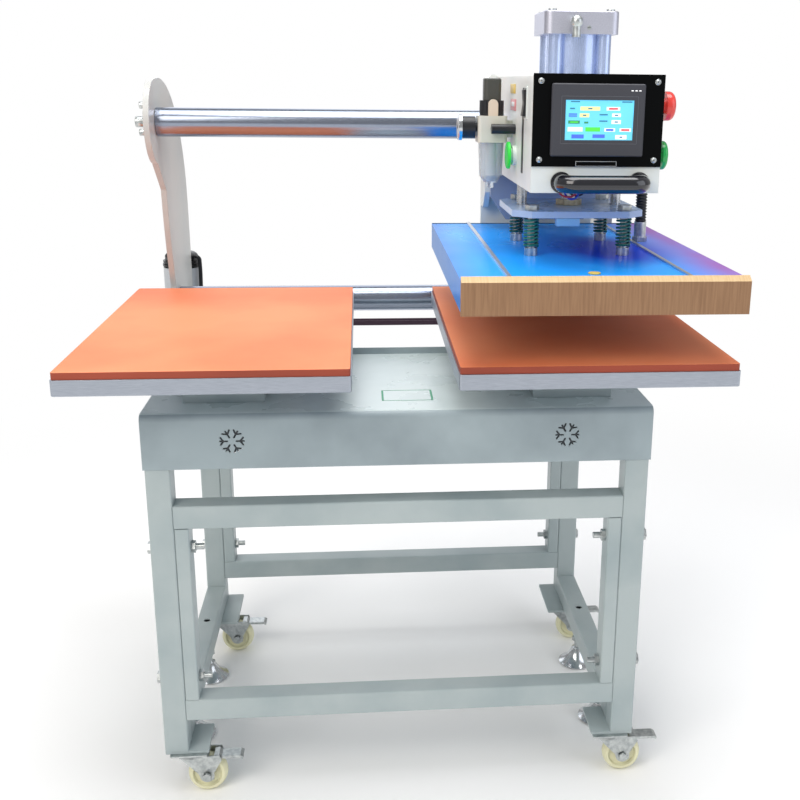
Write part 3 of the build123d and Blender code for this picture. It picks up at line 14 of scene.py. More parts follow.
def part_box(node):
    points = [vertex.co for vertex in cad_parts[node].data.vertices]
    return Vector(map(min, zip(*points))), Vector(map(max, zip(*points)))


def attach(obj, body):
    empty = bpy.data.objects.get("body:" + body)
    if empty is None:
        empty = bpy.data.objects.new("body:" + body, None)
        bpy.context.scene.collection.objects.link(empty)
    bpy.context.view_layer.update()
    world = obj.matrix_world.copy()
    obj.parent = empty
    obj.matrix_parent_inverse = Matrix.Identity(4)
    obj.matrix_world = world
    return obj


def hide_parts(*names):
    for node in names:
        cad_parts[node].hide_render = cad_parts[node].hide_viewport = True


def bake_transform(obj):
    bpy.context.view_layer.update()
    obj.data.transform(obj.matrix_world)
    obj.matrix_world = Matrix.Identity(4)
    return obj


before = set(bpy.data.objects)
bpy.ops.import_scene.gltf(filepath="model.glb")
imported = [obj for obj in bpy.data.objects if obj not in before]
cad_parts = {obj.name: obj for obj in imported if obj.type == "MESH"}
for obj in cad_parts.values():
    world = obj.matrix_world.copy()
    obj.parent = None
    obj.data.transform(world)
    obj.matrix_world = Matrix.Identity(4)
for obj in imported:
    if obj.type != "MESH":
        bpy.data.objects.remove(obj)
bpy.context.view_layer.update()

log = logging.getLogger("heat_press")

Tree = bpy.types.NodeTree
Node = bpy.types.Node
Socket = bpy.types.NodeSocket
FaceTest = Callable[[Vector, Vector], bool]

MM = 0.001
# The fitted camera's frame starts at the front edge of the pads, at the height of their tops.
FRONT_Y = -446.5
WORK_HEIGHT = 770.0
PRESS_X = 274.0
PRESS_Y = FRONT_Y + 290.0


def mm(x: float, y: float, z: float) -> Vector:
    """A point given in millimetres, in metres."""
    return Vector((x * MM, y * MM, z * MM))


def srgb(code: str) -> tuple[float, float, float, float]:
    """Turns a colour written as it looks into the linear values that a shader takes.

    Args:
        code: an sRGB colour such as "#bdc9c5".

    Returns:
        Linear red, green, blue, and an alpha of 1.
    """
    channels = []
    for start in (1, 3, 5):
        value = int(code[start:start + 2], 16) / 255
        channels.append(value / 12.92 if value <= 0.04045 else ((value + 0.055) / 1.055) ** 2.4)
    return (channels[0], channels[1], channels[2], 1.0)


def add_node(tree: Tree, kind: str, settings: dict, inputs: dict) -> Node:
    """Adds a shader node with its settings, values and links.

    Args:
        tree: the material's node tree.
        kind: the node's type, such as "ShaderNodeTexNoise".
        settings: values of the node's own properties; the "stops" of a colour ramp are pairs of
            a position and a colour.
        inputs: for each input's name or place, a value or the output socket to link from.

    Returns:
        The new node.
    """
    node = tree.nodes.new(kind)
    for key, value in settings.items():
        if key == "stops":
            for stop, (position, colour) in zip(node.color_ramp.elements, value):
                stop.position = position
                stop.color = srgb(colour)
        else:
            setattr(node, key, value)
    for key, value in inputs.items():
        if isinstance(value, Socket):
            tree.links.new(value, node.inputs[key])
        else:
            node.inputs[key].default_value = value
    return node


def grain_scale(size_mm: float) -> float:
    """The scale of a pattern in metres whose cells are size_mm across."""
    return 1000.0 / size_mm


@dataclass(frozen=True)
class Finish:
    """A surface finish: one material, made the first time it is asked for."""

    name: str
    colour: str

    def material(self) -> bpy.types.Material:
        """The finish's material, made once.

        Returns:
            The material.
        """
        made = bpy.data.materials.get(self.name)
        if made is not None:
            return made
        made = bpy.data.materials.new(self.name)
        made.use_nodes = True
        made.diffuse_color = srgb(self.colour)
        tree = made.node_tree
        tree.nodes.clear()
        shader = add_node(tree, "ShaderNodeBsdfPrincipled", {}, {"Base Color": srgb(self.colour)})
        add_node(tree, "ShaderNodeOutputMaterial", {}, {"Surface": shader.outputs["BSDF"]})
        place = add_node(tree, "ShaderNodeTexCoord", {}, {})
        self.paint(tree, shader, place.outputs["Object"])
        return made

    def paint(self, tree: Tree, shader: Node, place: Socket) -> None:
        """Adds the finish's own nodes; a subclass says how.

        Args:
            tree: the material's node tree.
            shader: its surface shader.
            place: the socket of a point's place on the object, in metres.
        """

    def wash(self, tree: Tree, shader: Node, pattern: Socket, shade: str, ends: tuple[float, float],
             roughness: tuple[float, float]) -> None:
        """Washes the surface from a shade to its own colour by a pattern, and its roughness with it.

        Args:
            tree: the material's node tree.
            shader: its surface shader.
            pattern: the pattern, from 0 to 1.
            shade: the colour where the pattern is low.
            ends: where the blend of the colours starts and ends.
            roughness: the roughness where the pattern is low and where it is high.
        """
        blend = add_node(tree, "ShaderNodeValToRGB",
                         {"stops": ((ends[0], shade), (ends[1], self.colour))}, {"Fac": pattern})
        tree.links.new(blend.outputs["Color"], shader.inputs["Base Color"])
        self.roughen(tree, shader, pattern, roughness)

    def roughen(self, tree: Tree, shader: Node, pattern: Socket, ends: tuple[float, float]) -> None:
        """Spreads the surface's roughness by a pattern."""
        spread = add_node(tree, "ShaderNodeMapRange", {},
                          {"Value": pattern, "To Min": ends[0], "To Max": ends[1]})
        tree.links.new(spread.outputs["Result"], shader.inputs["Roughness"])

    def raise_grain(self, tree: Tree, shader: Node, pattern: Socket, strength: float, depth_mm: float,
                    corner_mm: float = 0.0, sunk: bool = False) -> None:
        """Raises the surface by a pattern, over corners that are slightly eased.

        Args:
            tree: the material's node tree.
            shader: its surface shader.
            pattern: the pattern, from 0 to 1.
            strength: how strongly the pattern shows.
            depth_mm: how high the pattern stands.
            corner_mm: how far the corners are eased, or 0 to leave them.
            sunk: whether the pattern is pressed in instead.
        """
        inputs = {"Height": pattern, "Strength": strength, "Distance": depth_mm * MM}
        if corner_mm > 0:
            corner = add_node(tree, "ShaderNodeBevel", {"samples": 4}, {"Radius": corner_mm * MM})
            inputs["Normal"] = corner.outputs["Normal"]
        bump = add_node(tree, "ShaderNodeBump", {"invert": sunk}, inputs)
        tree.links.new(bump.outputs["Normal"], shader.inputs["Normal"])


@dataclass(frozen=True)
class PowderCoat(Finish):
    """Baked polyester powder paint: a fine orange peel, soft gloss and slightly rounded corners."""

    shade: str = "#a9b6b4"
    gloss: float = 0.38
    peel_mm: float = 2.2
    corner_mm: float = 0.8

    def paint(self, tree: Tree, shader: Node, place: Socket) -> None:
        """Mottles the coat by a few percent and raises its peel.

        Args:
            tree: the material's node tree.
            shader: its surface shader.
            place: the socket of a point's place on the object, in metres.
        """
        cloud = add_node(tree, "ShaderNodeTexNoise", {}, {"Vector": place, "Scale": 9.0, "Detail": 4.0})
        peel = add_node(tree, "ShaderNodeTexNoise", {},
                        {"Vector": place, "Scale": grain_scale(self.peel_mm), "Detail": 2.0})
        self.wash(tree, shader, cloud.outputs["Fac"], self.shade, (0.25, 0.6),
                  (self.gloss - 0.06, self.gloss + 0.1))
        self.raise_grain(tree, shader, peel.outputs["Fac"], 0.12, 0.6, self.corner_mm)


@dataclass(frozen=True)
class SiliconeSponge(Finish):
    """Closed-cell silicone sponge: matt and even, with fine pores and faint heat marks.

    Its pores are drawn about three times the real size, so that they show.
    """

    heat_mark: str = "#e87e52"
    pore_mm: float = 1.4

    def paint(self, tree: Tree, shader: Node, place: Socket) -> None:
        """Adds broad pale and warm patches and a pored surface.

        Args:
            tree: the material's node tree.
            shader: its surface shader.
            place: the socket of a point's place on the object, in metres.
        """
        patch = add_node(tree, "ShaderNodeTexNoise", {}, {"Vector": place, "Scale": 4.0, "Detail": 5.0})
        pores = add_node(tree, "ShaderNodeTexVoronoi", {},
                         {"Vector": place, "Scale": grain_scale(self.pore_mm)})
        self.wash(tree, shader, patch.outputs["Fac"], self.heat_mark, (0.3, 0.62), (0.5, 0.68))
        self.raise_grain(tree, shader, pores.outputs["Distance"], 0.2, 0.5, corner_mm=1.2, sunk=True)


class Lay(Enum):
    """The way a metal's brush marks run."""

    ALONG_X = (1.0, 60.0, 60.0)
    ALONG_Y = (60.0, 1.0, 60.0)
    ALONG_Z = (60.0, 60.0, 1.0)
    NONE = (1.0, 1.0, 1.0)


@dataclass(frozen=True)
class BareMetal(Finish):
    """Bare, plated or anodised metal: fine marks along its lay that spread the reflections."""

    shade: str = "#8f969d"
    roughness: float = 0.3
    lay: Lay = Lay.NONE
    mark_mm: float = 12.0
    depth: float = 0.1
    metallic: float = 1.0

    def paint(self, tree: Tree, shader: Node, place: Socket) -> None:
        """Lays stretched marks over the metal's colour, roughness and surface.

        Args:
            tree: the material's node tree.
            shader: its surface shader.
            place: the socket of a point's place on the object, in metres.
        """
        shader.inputs["Metallic"].default_value = self.metallic
        turned = add_node(tree, "ShaderNodeMapping", {}, {"Vector": place, "Scale": self.lay.value})
        marks = add_node(tree, "ShaderNodeTexNoise", {},
                         {"Vector": turned.outputs["Vector"], "Scale": grain_scale(self.mark_mm),
                          "Detail": 5.0})
        self.wash(tree, shader, marks.outputs["Fac"], self.shade, (0.25, 0.65),
                  (self.roughness - 0.06, self.roughness + 0.1))
        self.raise_grain(tree, shader, marks.outputs["Fac"], self.depth, 0.2, corner_mm=0.5)


@dataclass(frozen=True)
class MouldedPlastic(Finish):
    """Injection-moulded ABS or nylon: an even colour under a faint sparked grain.

    The grain is drawn several times coarser than the real one, so that it shows.
    """

    gloss: float = 0.35
    grain_mm: float = 0.9
    depth: float = 0.06
    coat: float = 0.0
    mirror: float = 0.5

    def paint(self, tree: Tree, shader: Node, place: Socket) -> None:
        """Adds the grain, a slow change of gloss, and a clear skin where there is one.

        Args:
            tree: the material's node tree.
            shader: its surface shader.
            place: the socket of a point's place on the object, in metres.
        """
        slow = add_node(tree, "ShaderNodeTexNoise", {}, {"Vector": place, "Scale": 26.0, "Detail": 3.0})
        grain = add_node(tree, "ShaderNodeTexNoise", {},
                         {"Vector": place, "Scale": grain_scale(self.grain_mm), "Detail": 1.0})
        shader.inputs["Specular IOR Level"].default_value = self.mirror
        shader.inputs["Coat Weight"].default_value = self.coat
        shader.inputs["Coat Roughness"].default_value = 0.08
        self.roughen(tree, shader, slow.outputs["Fac"], (self.gloss - 0.07, self.gloss + 0.09))
        self.raise_grain(tree, shader, grain.outputs["Fac"], self.depth, 0.3, corner_mm=0.6)


@dataclass(frozen=True)
class TransferFilm(Finish):
    """Glossy blue protective film on the heat platen's cover: a deep blue painted shade and reflection in the
    middle, another azure at its left edge and lavender at its right.
    """

    # deep is the colour of the painted shade and reflection in the cover's middle
    deep: str = "#1040cc"
    pale: str = "#1781e0"
    lavender: str = "#9a58a8"
    violet: str = "#8c76c6"
    shade_centre: tuple[float, float, float] = (0.335, -0.180, 0.9)
    shade_squeeze: tuple[float, float, float] = (7.0, 4.0, 1.0)
    right_fade: tuple[float, float] = (0.385, 0.46)
    left_fade: tuple[float, float] = (0.112, 0.078)

    def paint(self, tree: Tree, shader: Node, place: Socket) -> None:
        """Washes the film from azure to a deep blue painted shade and reflection, and to lavender, and
        wrinkles it a little.

        Args:
            tree: the material's node tree.
            shader: its surface shader.
            place: the socket of a point's place on the object, in metres.
        """
        shader.inputs["Specular IOR Level"].default_value = 0.07
        axes = add_node(tree, "ShaderNodeSeparateXYZ", {}, {"Vector": place})
        drift = add_node(tree, "ShaderNodeTexNoise", {}, {"Vector": place, "Scale": 5.0, "Detail": 2.0})
        # Painted shade and reflection under the head: deep blue pooled between the springs, right of the
        # cover's middle
        shift = tuple(-at * pinch for at, pinch in zip(self.shade_centre, self.shade_squeeze))
        centred = add_node(tree, "ShaderNodeMapping", {"vector_type": "POINT"},
                           {"Vector": place, "Location": shift, "Scale": self.shade_squeeze})
        round_middle = add_node(tree, "ShaderNodeTexGradient", {"gradient_type": "SPHERICAL"},
                                {"Vector": centred.outputs["Vector"]})
        shade_mix = add_node(tree, "ShaderNodeMath", {"operation": "MULTIPLY_ADD"},
                        {0: drift.outputs["Fac"], 1: 0.5, 2: round_middle.outputs["Fac"]})
        middle = add_node(tree, "ShaderNodeValToRGB", {"stops": ((0.52, self.colour), (0.9, self.deep))},
                          {"Fac": shade_mix.outputs["Value"]})
        side = add_node(tree, "ShaderNodeValToRGB", {"stops": ((0.35, self.lavender), (0.62, self.violet))},
                        {"Fac": drift.outputs["Fac"]})
        right = add_node(tree, "ShaderNodeMapRange", {}, {"Value": axes.outputs["X"],
                         "From Min": self.right_fade[0], "From Max": self.right_fade[1]})
        with_right = add_node(tree, "ShaderNodeMix", {"data_type": "RGBA"},
                              {"Factor": right.outputs["Result"], 6: middle.outputs["Color"],
                               7: side.outputs["Color"]})
        left = add_node(tree, "ShaderNodeMapRange", {}, {"Value": axes.outputs["X"],
                        "From Min": self.left_fade[0], "From Max": self.left_fade[1]})
        with_left = add_node(tree, "ShaderNodeMix", {"data_type": "RGBA"},
                             {"Factor": left.outputs["Result"], 6: with_right.outputs[2], 7: srgb(self.pale)})
        tree.links.new(with_left.outputs[2], shader.inputs["Base Color"])
        self.roughen(tree, shader, drift.outputs["Fac"], (0.22, 0.36))
        self.raise_grain(tree, shader, drift.outputs["Fac"], 0.25, 2.0)


@dataclass(frozen=True)
class GlassTape(Finish):
    """Woven heat tape folded over the front bar: upright fibres, tan and a little shiny."""

    shade: str = "#94704f"
    fibre_mm: float = 3.0
    stretch: tuple[float, float, float] = (1.0, 0.08, 0.05)

    def paint(self, tree: Tree, shader: Node, place: Socket) -> None:
        """Draws the fibres much wider than the real ones, so that they show.

        Args:
            tree: the material's node tree.
            shader: its surface shader.
            place: the socket of a point's place on the object, in metres.
        """
        turned = add_node(tree, "ShaderNodeMapping", {}, {"Vector": place, "Scale": self.stretch})
        fibres = add_node(tree, "ShaderNodeTexNoise", {},
                          {"Vector": turned.outputs["Vector"], "Scale": grain_scale(self.fibre_mm),
                           "Detail": 6.0})
        self.wash(tree, shader, fibres.outputs["Fac"], self.shade, (0.3, 0.62), (0.42, 0.6))
        self.raise_grain(tree, shader, fibres.outputs["Fac"], 0.2, 0.4)


@dataclass(frozen=True)
class ClearPolycarbonate(Finish):
    """Clear moulded polycarbonate, slightly hazed by oil and use."""

    haze: float = 0.12

    def paint(self, tree: Tree, shader: Node, place: Socket) -> None:
        """Makes it see-through, with uneven haze.

        Args:
            tree: the material's node tree.
            shader: its surface shader.
            place: the socket of a point's place on the object, in metres.
        """
        shader.inputs["Transmission Weight"].default_value = 0.75
        shader.inputs["IOR"].default_value = 1.45
        slow = add_node(tree, "ShaderNodeTexNoise", {}, {"Vector": place, "Scale": 40.0, "Detail": 3.0})
        self.roughen(tree, shader, slow.outputs["Fac"], (self.haze, self.haze + 0.14))


@dataclass(frozen=True)
class LitDisplay(Finish):
    """A lit screen or lamp: its own colour with a faint glow, uneven by a percent or two."""

    glow: float = 0.37
    dimmed: str = "#f1f1f1"

    def paint(self, tree: Tree, shader: Node, place: Socket) -> None:
        """Lights the surface with its own colour.

        Args:
            tree: the material's node tree.
            shader: its surface shader.
            place: the socket of a point's place on the object, in metres.
        """
        cloud = add_node(tree, "ShaderNodeTexNoise", {}, {"Vector": place, "Scale": 30.0})
        lit = add_node(tree, "ShaderNodeMix", {"data_type": "RGBA", "blend_type": "MULTIPLY"},
                       {"Factor": cloud.outputs["Fac"], 6: srgb(self.colour), 7: srgb(self.dimmed)})
        tree.links.new(lit.outputs[2], shader.inputs["Base Color"])
        tree.links.new(lit.outputs[2], shader.inputs["Emission Color"])
        shader.inputs["Emission Strength"].default_value = self.glow
        self.roughen(tree, shader, cloud.outputs["Fac"], (0.2, 0.3))


@dataclass(frozen=True)
class StudioPaper(Finish):
    """White seamless paper: it takes the machine's shadow and fades into the lit backdrop.

    Its tooth is drawn much coarser than real paper's, so that it shows at this distance.
    """

    fade: tuple[float, float] = (0.75, 2.2)
    tooth_mm: float = 14.0

    def paint(self, tree: Tree, shader: Node, place: Socket) -> None:
        """Adds a faint tooth, and light that rises with the distance from the machine.

        Args:
            tree: the material's node tree.
            shader: its surface shader.
            place: the socket of a point's place on the object, in metres.
        """
        tooth = add_node(tree, "ShaderNodeTexNoise", {},
                         {"Vector": place, "Scale": grain_scale(self.tooth_mm), "Detail": 2.0})
        self.roughen(tree, shader, tooth.outputs["Fac"], (0.75, 0.9))
        away = add_node(tree, "ShaderNodeVectorMath", {"operation": "LENGTH"}, {0: place})
        rise = add_node(tree, "ShaderNodeMapRange", {"interpolation_type": "SMOOTHSTEP"},
                        {"Value": away.outputs["Value"], "From Min": self.fade[0], "From Max": self.fade[1]})
        glow = add_node(tree, "ShaderNodeEmission", {}, {"Color": srgb(self.colour), "Strength": 1.0})
        lit = add_node(tree, "ShaderNodeMixShader", {}, {"Fac": rise.outputs["Result"],
                       1: shader.outputs["BSDF"], 2: glow.outputs["Emission"]})
        out = next(node for node in tree.nodes if node.type == "OUTPUT_MATERIAL")
        tree.links.new(lit.outputs["Shader"], out.inputs["Surface"])


# Baked powder paint on the stand: a soft even sheen, pale on the frame and darker on the table
FRAME_PAINT = PowderCoat("powder_coat_pale_sage", "#aeb9ba", shade="#9caaad")
TABLE_PAINT = PowderCoat("powder_coat_table_sage", "#a0aeb3", shade="#8b989e")
# The table's top: a paler copy of the table paint, painted light from above; smoother, so it mirrors the
# platens a little
TABLE_TOP_LIT_PAINT = PowderCoat("powder_coat_painted_light_top", "#d2dedd", shade="#c2d0cf", gloss=0.26)
# Smooth paints of the head, posts and motor: whites and greys with a tighter highlight
WHITE_PAINT = PowderCoat("powder_coat_white", "#e2e6e2", shade="#d3d9d6", gloss=0.32)
MOTOR_GREY = PowderCoat("motor_body_enamel", "#b9bdc2", shade="#a8acb3", gloss=0.3)
POST_PAINT = PowderCoat("powder_coat_warm_grey", "#c6c6c3", shade="#b7b9b8", gloss=0.34)
# Blue-grey for the carriage's web and arm: painted shade and a painted reflection of the blue film
SHADED_BLUE_PAINT = PowderCoat("painted_shade_and_blue_reflection", "#8291ab", shade="#68778f", gloss=0.32)
PLATE_STEEL = PowderCoat("powder_coat_steel_blue", "#a9bdd8", shade="#94aac8", gloss=0.24)
BLACK_PAINT = PowderCoat("powder_coat_black", "#101115", shade="#0a0a0d", gloss=0.3, peel_mm=1.4)
# Thin enamel on drawn wire: dark green with a narrow shine along each coil
SPRING_GREEN = PowderCoat("green_spring_enamel", "#0e6e62", shade="#084a48", gloss=0.26, peel_mm=0.8,
                          corner_mm=0.2)

# Printed polyester sheet: nearly black, with almost no mirror
PANEL_BLACK = MouldedPlastic("black_polyester_panel", "#040506", gloss=0.42, depth=0.03, mirror=0.07)
# Sparked ABS: a coarse grain that greys the bezel beside the smooth black panel
BEZEL_BLACK = MouldedPlastic("grained_black_abs", "#3e3f46", gloss=0.45, grain_mm=1.6, depth=0.3,
                             mirror=0.4)
DISPLAY_RIM = MouldedPlastic("smooth_grey_abs", "#55575f", gloss=0.3)
# Enamel and lacquered ABS: a clear skin gives the handle and buttons their sharp highlights
HANDLE_BLACK = MouldedPlastic("gloss_black_enamel", "#15161d", gloss=0.16, coat=0.8)
RED_PLASTIC = MouldedPlastic("red_abs", "#e04038", gloss=0.22, coat=0.5)
GREEN_PLASTIC = MouldedPlastic("green_abs", "#1ba64f", gloss=0.24, coat=0.5)
GAUGE_WHITE = MouldedPlastic("white_dial_enamel", "#eef1f0", gloss=0.28, coat=0.6)
# Plain moulded ABS and nylon: even colours with a broad dull highlight
BLACK_PLASTIC = MouldedPlastic("black_abs", "#1a1b1f", gloss=0.35)
WHITE_PLASTIC = MouldedPlastic("white_abs", "#e9edf0", gloss=0.3)
PALE_BLUE_PLASTIC = MouldedPlastic("pale_blue_abs", "#86b8de", gloss=0.35)
GREY_PLASTIC = MouldedPlastic("pale_grey_nylon", "#d3d3c8", gloss=0.36)
KNOB_GREY = MouldedPlastic("dark_grey_nylon", "#43443f", gloss=0.42)
BEIGE_PLASTIC = MouldedPlastic("beige_nylon", "#dccdb9", gloss=0.35)
CREAM_NYLON = MouldedPlastic("cream_cast_nylon", "#e6e3bf", gloss=0.42)
# Dark discs behind the table's vents: painted shade of the table's inside
VENT_SHADE = MouldedPlastic("painted_shade_behind_vents", "#4a4e52", gloss=0.6, grain_mm=1.5, depth=0.5)
# Vinyl labels, paint lines, PVC wires, hose and belt: flat colours with a dull shine
YELLOW_LABEL = MouldedPlastic("yellow_vinyl", "#e2c25c", gloss=0.4)
PINK_LABEL = MouldedPlastic("pink_and_white_vinyl", "#d98f92", gloss=0.4)
MARK_GREEN = MouldedPlastic("green_paint_line", "#3f9a74", gloss=0.4)
WIRE_BLUE = MouldedPlastic("blue_pvc", "#2437a8", gloss=0.32)
WIRE_RED = MouldedPlastic("red_pvc", "#a8283a", gloss=0.32)
HOSE_BLACK = MouldedPlastic("black_polyamide_hose", "#15171b", gloss=0.38)
BELT_RUBBER = MouldedPlastic("dark_polyurethane_belt", "#3a2233", gloss=0.5)
# Clear moulding: the filter's bowl shows what is behind it through a faint haze
BOWL_CLEAR = ClearPolycarbonate("clear_polycarbonate", "#e6edf2")

# Silicone sponge: matt orange, with a darker, redder copy on its side faces for painted shade
PAD_SPONGE = SiliconeSponge("orange_silicone_sponge", "#ee8e60", heat_mark="#e47748")
PAD_SIDE_SHADE = SiliconeSponge("painted_shade_on_sponge_sides", "#9f442d", heat_mark="#8a3924")
# Glass tape: its fibres run up the bar and over its edge, so the front looks like wood; the sloping top takes
# a paler copy of the tape, painted light from above
TAPE_FRONT = GlassTape("tan_glass_tape", "#987454", shade="#876446")
TAPE_TOP_LIT = GlassTape("glass_tape_painted_light_top", "#cfb184", shade="#c2a172")
FILM_BLUE = TransferFilm("blue_protective_film", "#22a0ff")

# Chrome: long soft streaks along the ground bars, and clear small mirrors on the feet
CHROME_BAR = BareMetal("hard_chromed_bar", "#a3abbb", shade="#8f98aa", roughness=0.2, lay=Lay.ALONG_X,
                       depth=0.03)
CHROME = BareMetal("bright_chrome_plate", "#dcdfe2", shade="#c6c9cc", roughness=0.16, depth=0.03)
# Aluminium: milled streaks on the platens, an even blasted haze on the caps, a cool drawn barrel;
# the blast marks are drawn coarser than the real ones
PLATEN_ALUMINIUM = BareMetal("milled_cast_aluminium", "#bbc1cb", shade="#9aa1ad", roughness=0.36,
                             lay=Lay.ALONG_X)
CAP_ALUMINIUM = BareMetal("bead_blasted_aluminium", "#cfd0dc", shade="#bfc0ce", roughness=0.44,
                          mark_mm=1.6, depth=0.05)
BARREL_ALUMINIUM = BareMetal("clear_anodised_barrel", "#bccbee", shade="#b3c3ea", roughness=0.24,
                             lay=Lay.ALONG_Z, mark_mm=30.0, depth=0.04, metallic=0.6)
# Steel and brass: mottled small highlights on turned, plated and folded pieces
MACHINED_STEEL = BareMetal("turned_steel", "#c5c8cc", shade="#9a9ea4", roughness=0.25, mark_mm=6.0)
ZINC_PLATE = BareMetal("zinc_plated_steel", "#cfd3d2", shade="#a0a6a8", roughness=0.34, mark_mm=7.0)
BRASS_NUT = BareMetal("nickelled_brass", "#d9cdb0", shade="#b5a684", roughness=0.3, mark_mm=6.0)
STRIP_STEEL = BareMetal("folded_zinc_strip", "#e2e3e6", shade="#b9bcc2", roughness=0.32, lay=Lay.ALONG_Y)

# The lit screen and lamps: plain colours that glow a little
GREEN_LAMP = LitDisplay("green_lamp_lens", "#25c93c", glow=0.25)
LED_WHITE = LitDisplay("led_white", "#f4f4f6", glow=0.8)
SCREEN_CYAN = LitDisplay("screen_cyan", "#6fd3f4")
SCREEN_WHITE = LitDisplay("screen_white", "#eef8fb")
SCREEN_YELLOW = LitDisplay("screen_pale_yellow", "#efe6a4")
SCREEN_GREEN = LitDisplay("screen_lime", "#58e04e")
SCREEN_DARK_GREEN = LitDisplay("screen_dark_green", "#3f8f62")
SCREEN_BLUE = LitDisplay("screen_blue", "#4f6fe8")
SCREEN_RED = LitDisplay("screen_red", "#e0606a")
SCREEN_INK = LitDisplay("screen_ink", "#35749a")

ScreenField = tuple[float, float, float, float, Finish]


def dress(node: str, finish: Finish, *zones: tuple[Finish, FaceTest]) -> None:
    """Gives a CAD node its finish, and further finishes to faces that a test picks.

    Args:
        node: the CAD node's name.
        finish: the finish of all faces that no zone picks.
        zones: pairs of a finish and a test of a face's centre, in millimetres, and its normal.
    """
    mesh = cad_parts[node].data
    mesh.materials.clear()
    mesh.materials.append(finish.material())
    for slot, (zone_finish, _) in enumerate(zones, start=1):
        mesh.materials.append(zone_finish.material())
    for face in mesh.polygons:
        face.material_index = 0
        centre = Vector(face.center) / MM
        for slot, (_, test) in enumerate(zones, start=1):
            if test(centre, face.normal):
                face.material_index = slot


def finish_piece(name: str, bm: bmesh.types.BMesh, finishes: Sequence[Finish], body: Optional[str],
                 smooth_angle: float = 35.0) -> bpy.types.Object:
    """Turns a bmesh into a named piece with its finishes, riding its body.

    Args:
        name: the piece's name.
        bm: the shape, in metres and in place; it is freed.
        finishes: the finishes, in the order of the faces' material numbers.
        body: the body that the piece rides, or None to leave it unattached.
        smooth_angle: edges sharper than this stay sharp, in degrees.

    Returns:
        The new object.
    """
    bmesh.ops.remove_doubles(bm, verts=bm.verts, dist=1e-6)
    bmesh.ops.recalc_face_normals(bm, faces=bm.faces)
    for face in bm.faces:
        face.smooth = True
    for edge in bm.edges:
        edge.smooth = edge.calc_face_angle(0.0) < math.radians(smooth_angle)
    mesh = bpy.data.meshes.new(name)
    bm.to_mesh(mesh)
    bm.free()
    for finish in finishes:
        mesh.materials.append(finish.material())
    piece = bpy.data.objects.new(name, mesh)
    bpy.context.scene.collection.objects.link(piece)
    if body is not None:
        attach(piece, body)
    log.info("piece %s: %d faces on %s", name, len(mesh.polygons), body)
    return piece


def aim(origin: Vector, direction: Vector) -> Matrix:
    """A matrix that puts +Z along a direction at a point in metres."""
    return Matrix.Translation(origin) @ direction.to_track_quat("Z", "Y").to_matrix().to_4x4()


def lift(height: float) -> Matrix:
    """A move of so many millimetres along a place's own +Z."""
    return Matrix.Translation((0, 0, height * MM))


def outline_strips(x: float, y: float, width: float, height: float,
                   line: float) -> list[tuple[float, float, float, float]]:
    """The four strips that draw a rectangle's outline.

    Args:
        x: the rectangle's middle, across.
        y: its middle, the other way.
        width: its width.
        height: its height.
        line: how wide the line is.

    Returns:
        For each strip, its middle's two places and its two sides.
    """
    return [(x, y - height / 2, width, line), (x, y + height / 2, width, line),
            (x - width / 2, y, line, height), (x + width / 2, y, line, height)]


def faces_since(bm: bmesh.types.BMesh, before: set[bmesh.types.BMFace]) -> list[bmesh.types.BMFace]:
    """The faces that weren't there before."""
    return [face for face in bm.faces if face not in before]


def corners_since(bm: bmesh.types.BMesh, before: set[bmesh.types.BMFace]) -> list[bmesh.types.BMVert]:
    """The corners of the faces that weren't there before."""
    return list({vert for face in faces_since(bm, before) for vert in face.verts})


def ease(bm: bmesh.types.BMesh, edges: Sequence[bmesh.types.BMEdge], bevel: float) -> None:
    """Rounds edges over so many millimetres, in two steps."""
    bmesh.ops.bevel(bm, geom=edges, offset=bevel * MM, segments=2, profile=0.5, affect="EDGES", material=-1)


def add_disc(bm: bmesh.types.BMesh, place: Matrix, radius: float, height: float, bevel: float = 0.0,
             sides: int = 32, top_radius: Optional[float] = None, number: int = 0) -> None:
    """Adds a closed round or many-sided block with eased rims.

    Args:
        bm: the bmesh it goes into.
        place: the middle of its base, with its axis along +Z.
        radius: its radius in millimetres.
        height: its height in millimetres.
        bevel: how far its rims are eased, in millimetres.
        sides: how many sides it has.
        top_radius: its radius at the top, where it tapers.
        number: the material number of its faces.
    """
    before = set(bm.faces)
    top = radius if top_radius is None else top_radius
    made = bmesh.ops.create_cone(bm, cap_ends=True, cap_tris=False, segments=sides, radius1=radius * MM,
                                 radius2=top * MM, depth=height * MM, matrix=place @ lift(height / 2))
    if bevel > 0:
        edges = {edge for vert in made["verts"] for edge in vert.link_edges}
        ease(bm, [edge for edge in edges if any(len(face.verts) == sides for face in edge.link_faces)], bevel)
    for face in faces_since(bm, before):
        face.material_index = number


def add_block(bm: bmesh.types.BMesh, place: Matrix, size: tuple[float, float, float],
              bevel: float = 0.0, number: int = 0) -> None:
    """Adds a closed block with eased edges.

    Args:
        bm: the bmesh it goes into.
        place: the block's centre and turn.
        size: its three sides in millimetres.
        bevel: how far its edges are eased, in millimetres.
        number: the material number of its faces.
    """
    before = set(bm.faces)
    stretch = Matrix.Diagonal((size[0] * MM, size[1] * MM, size[2] * MM, 1.0))
    made = bmesh.ops.create_cube(bm, size=1.0, matrix=place @ stretch)
    if bevel > 0:
        ease(bm, list({edge for vert in made["verts"] for edge in vert.link_edges}), bevel)
    for face in faces_since(bm, before):
        face.material_index = number


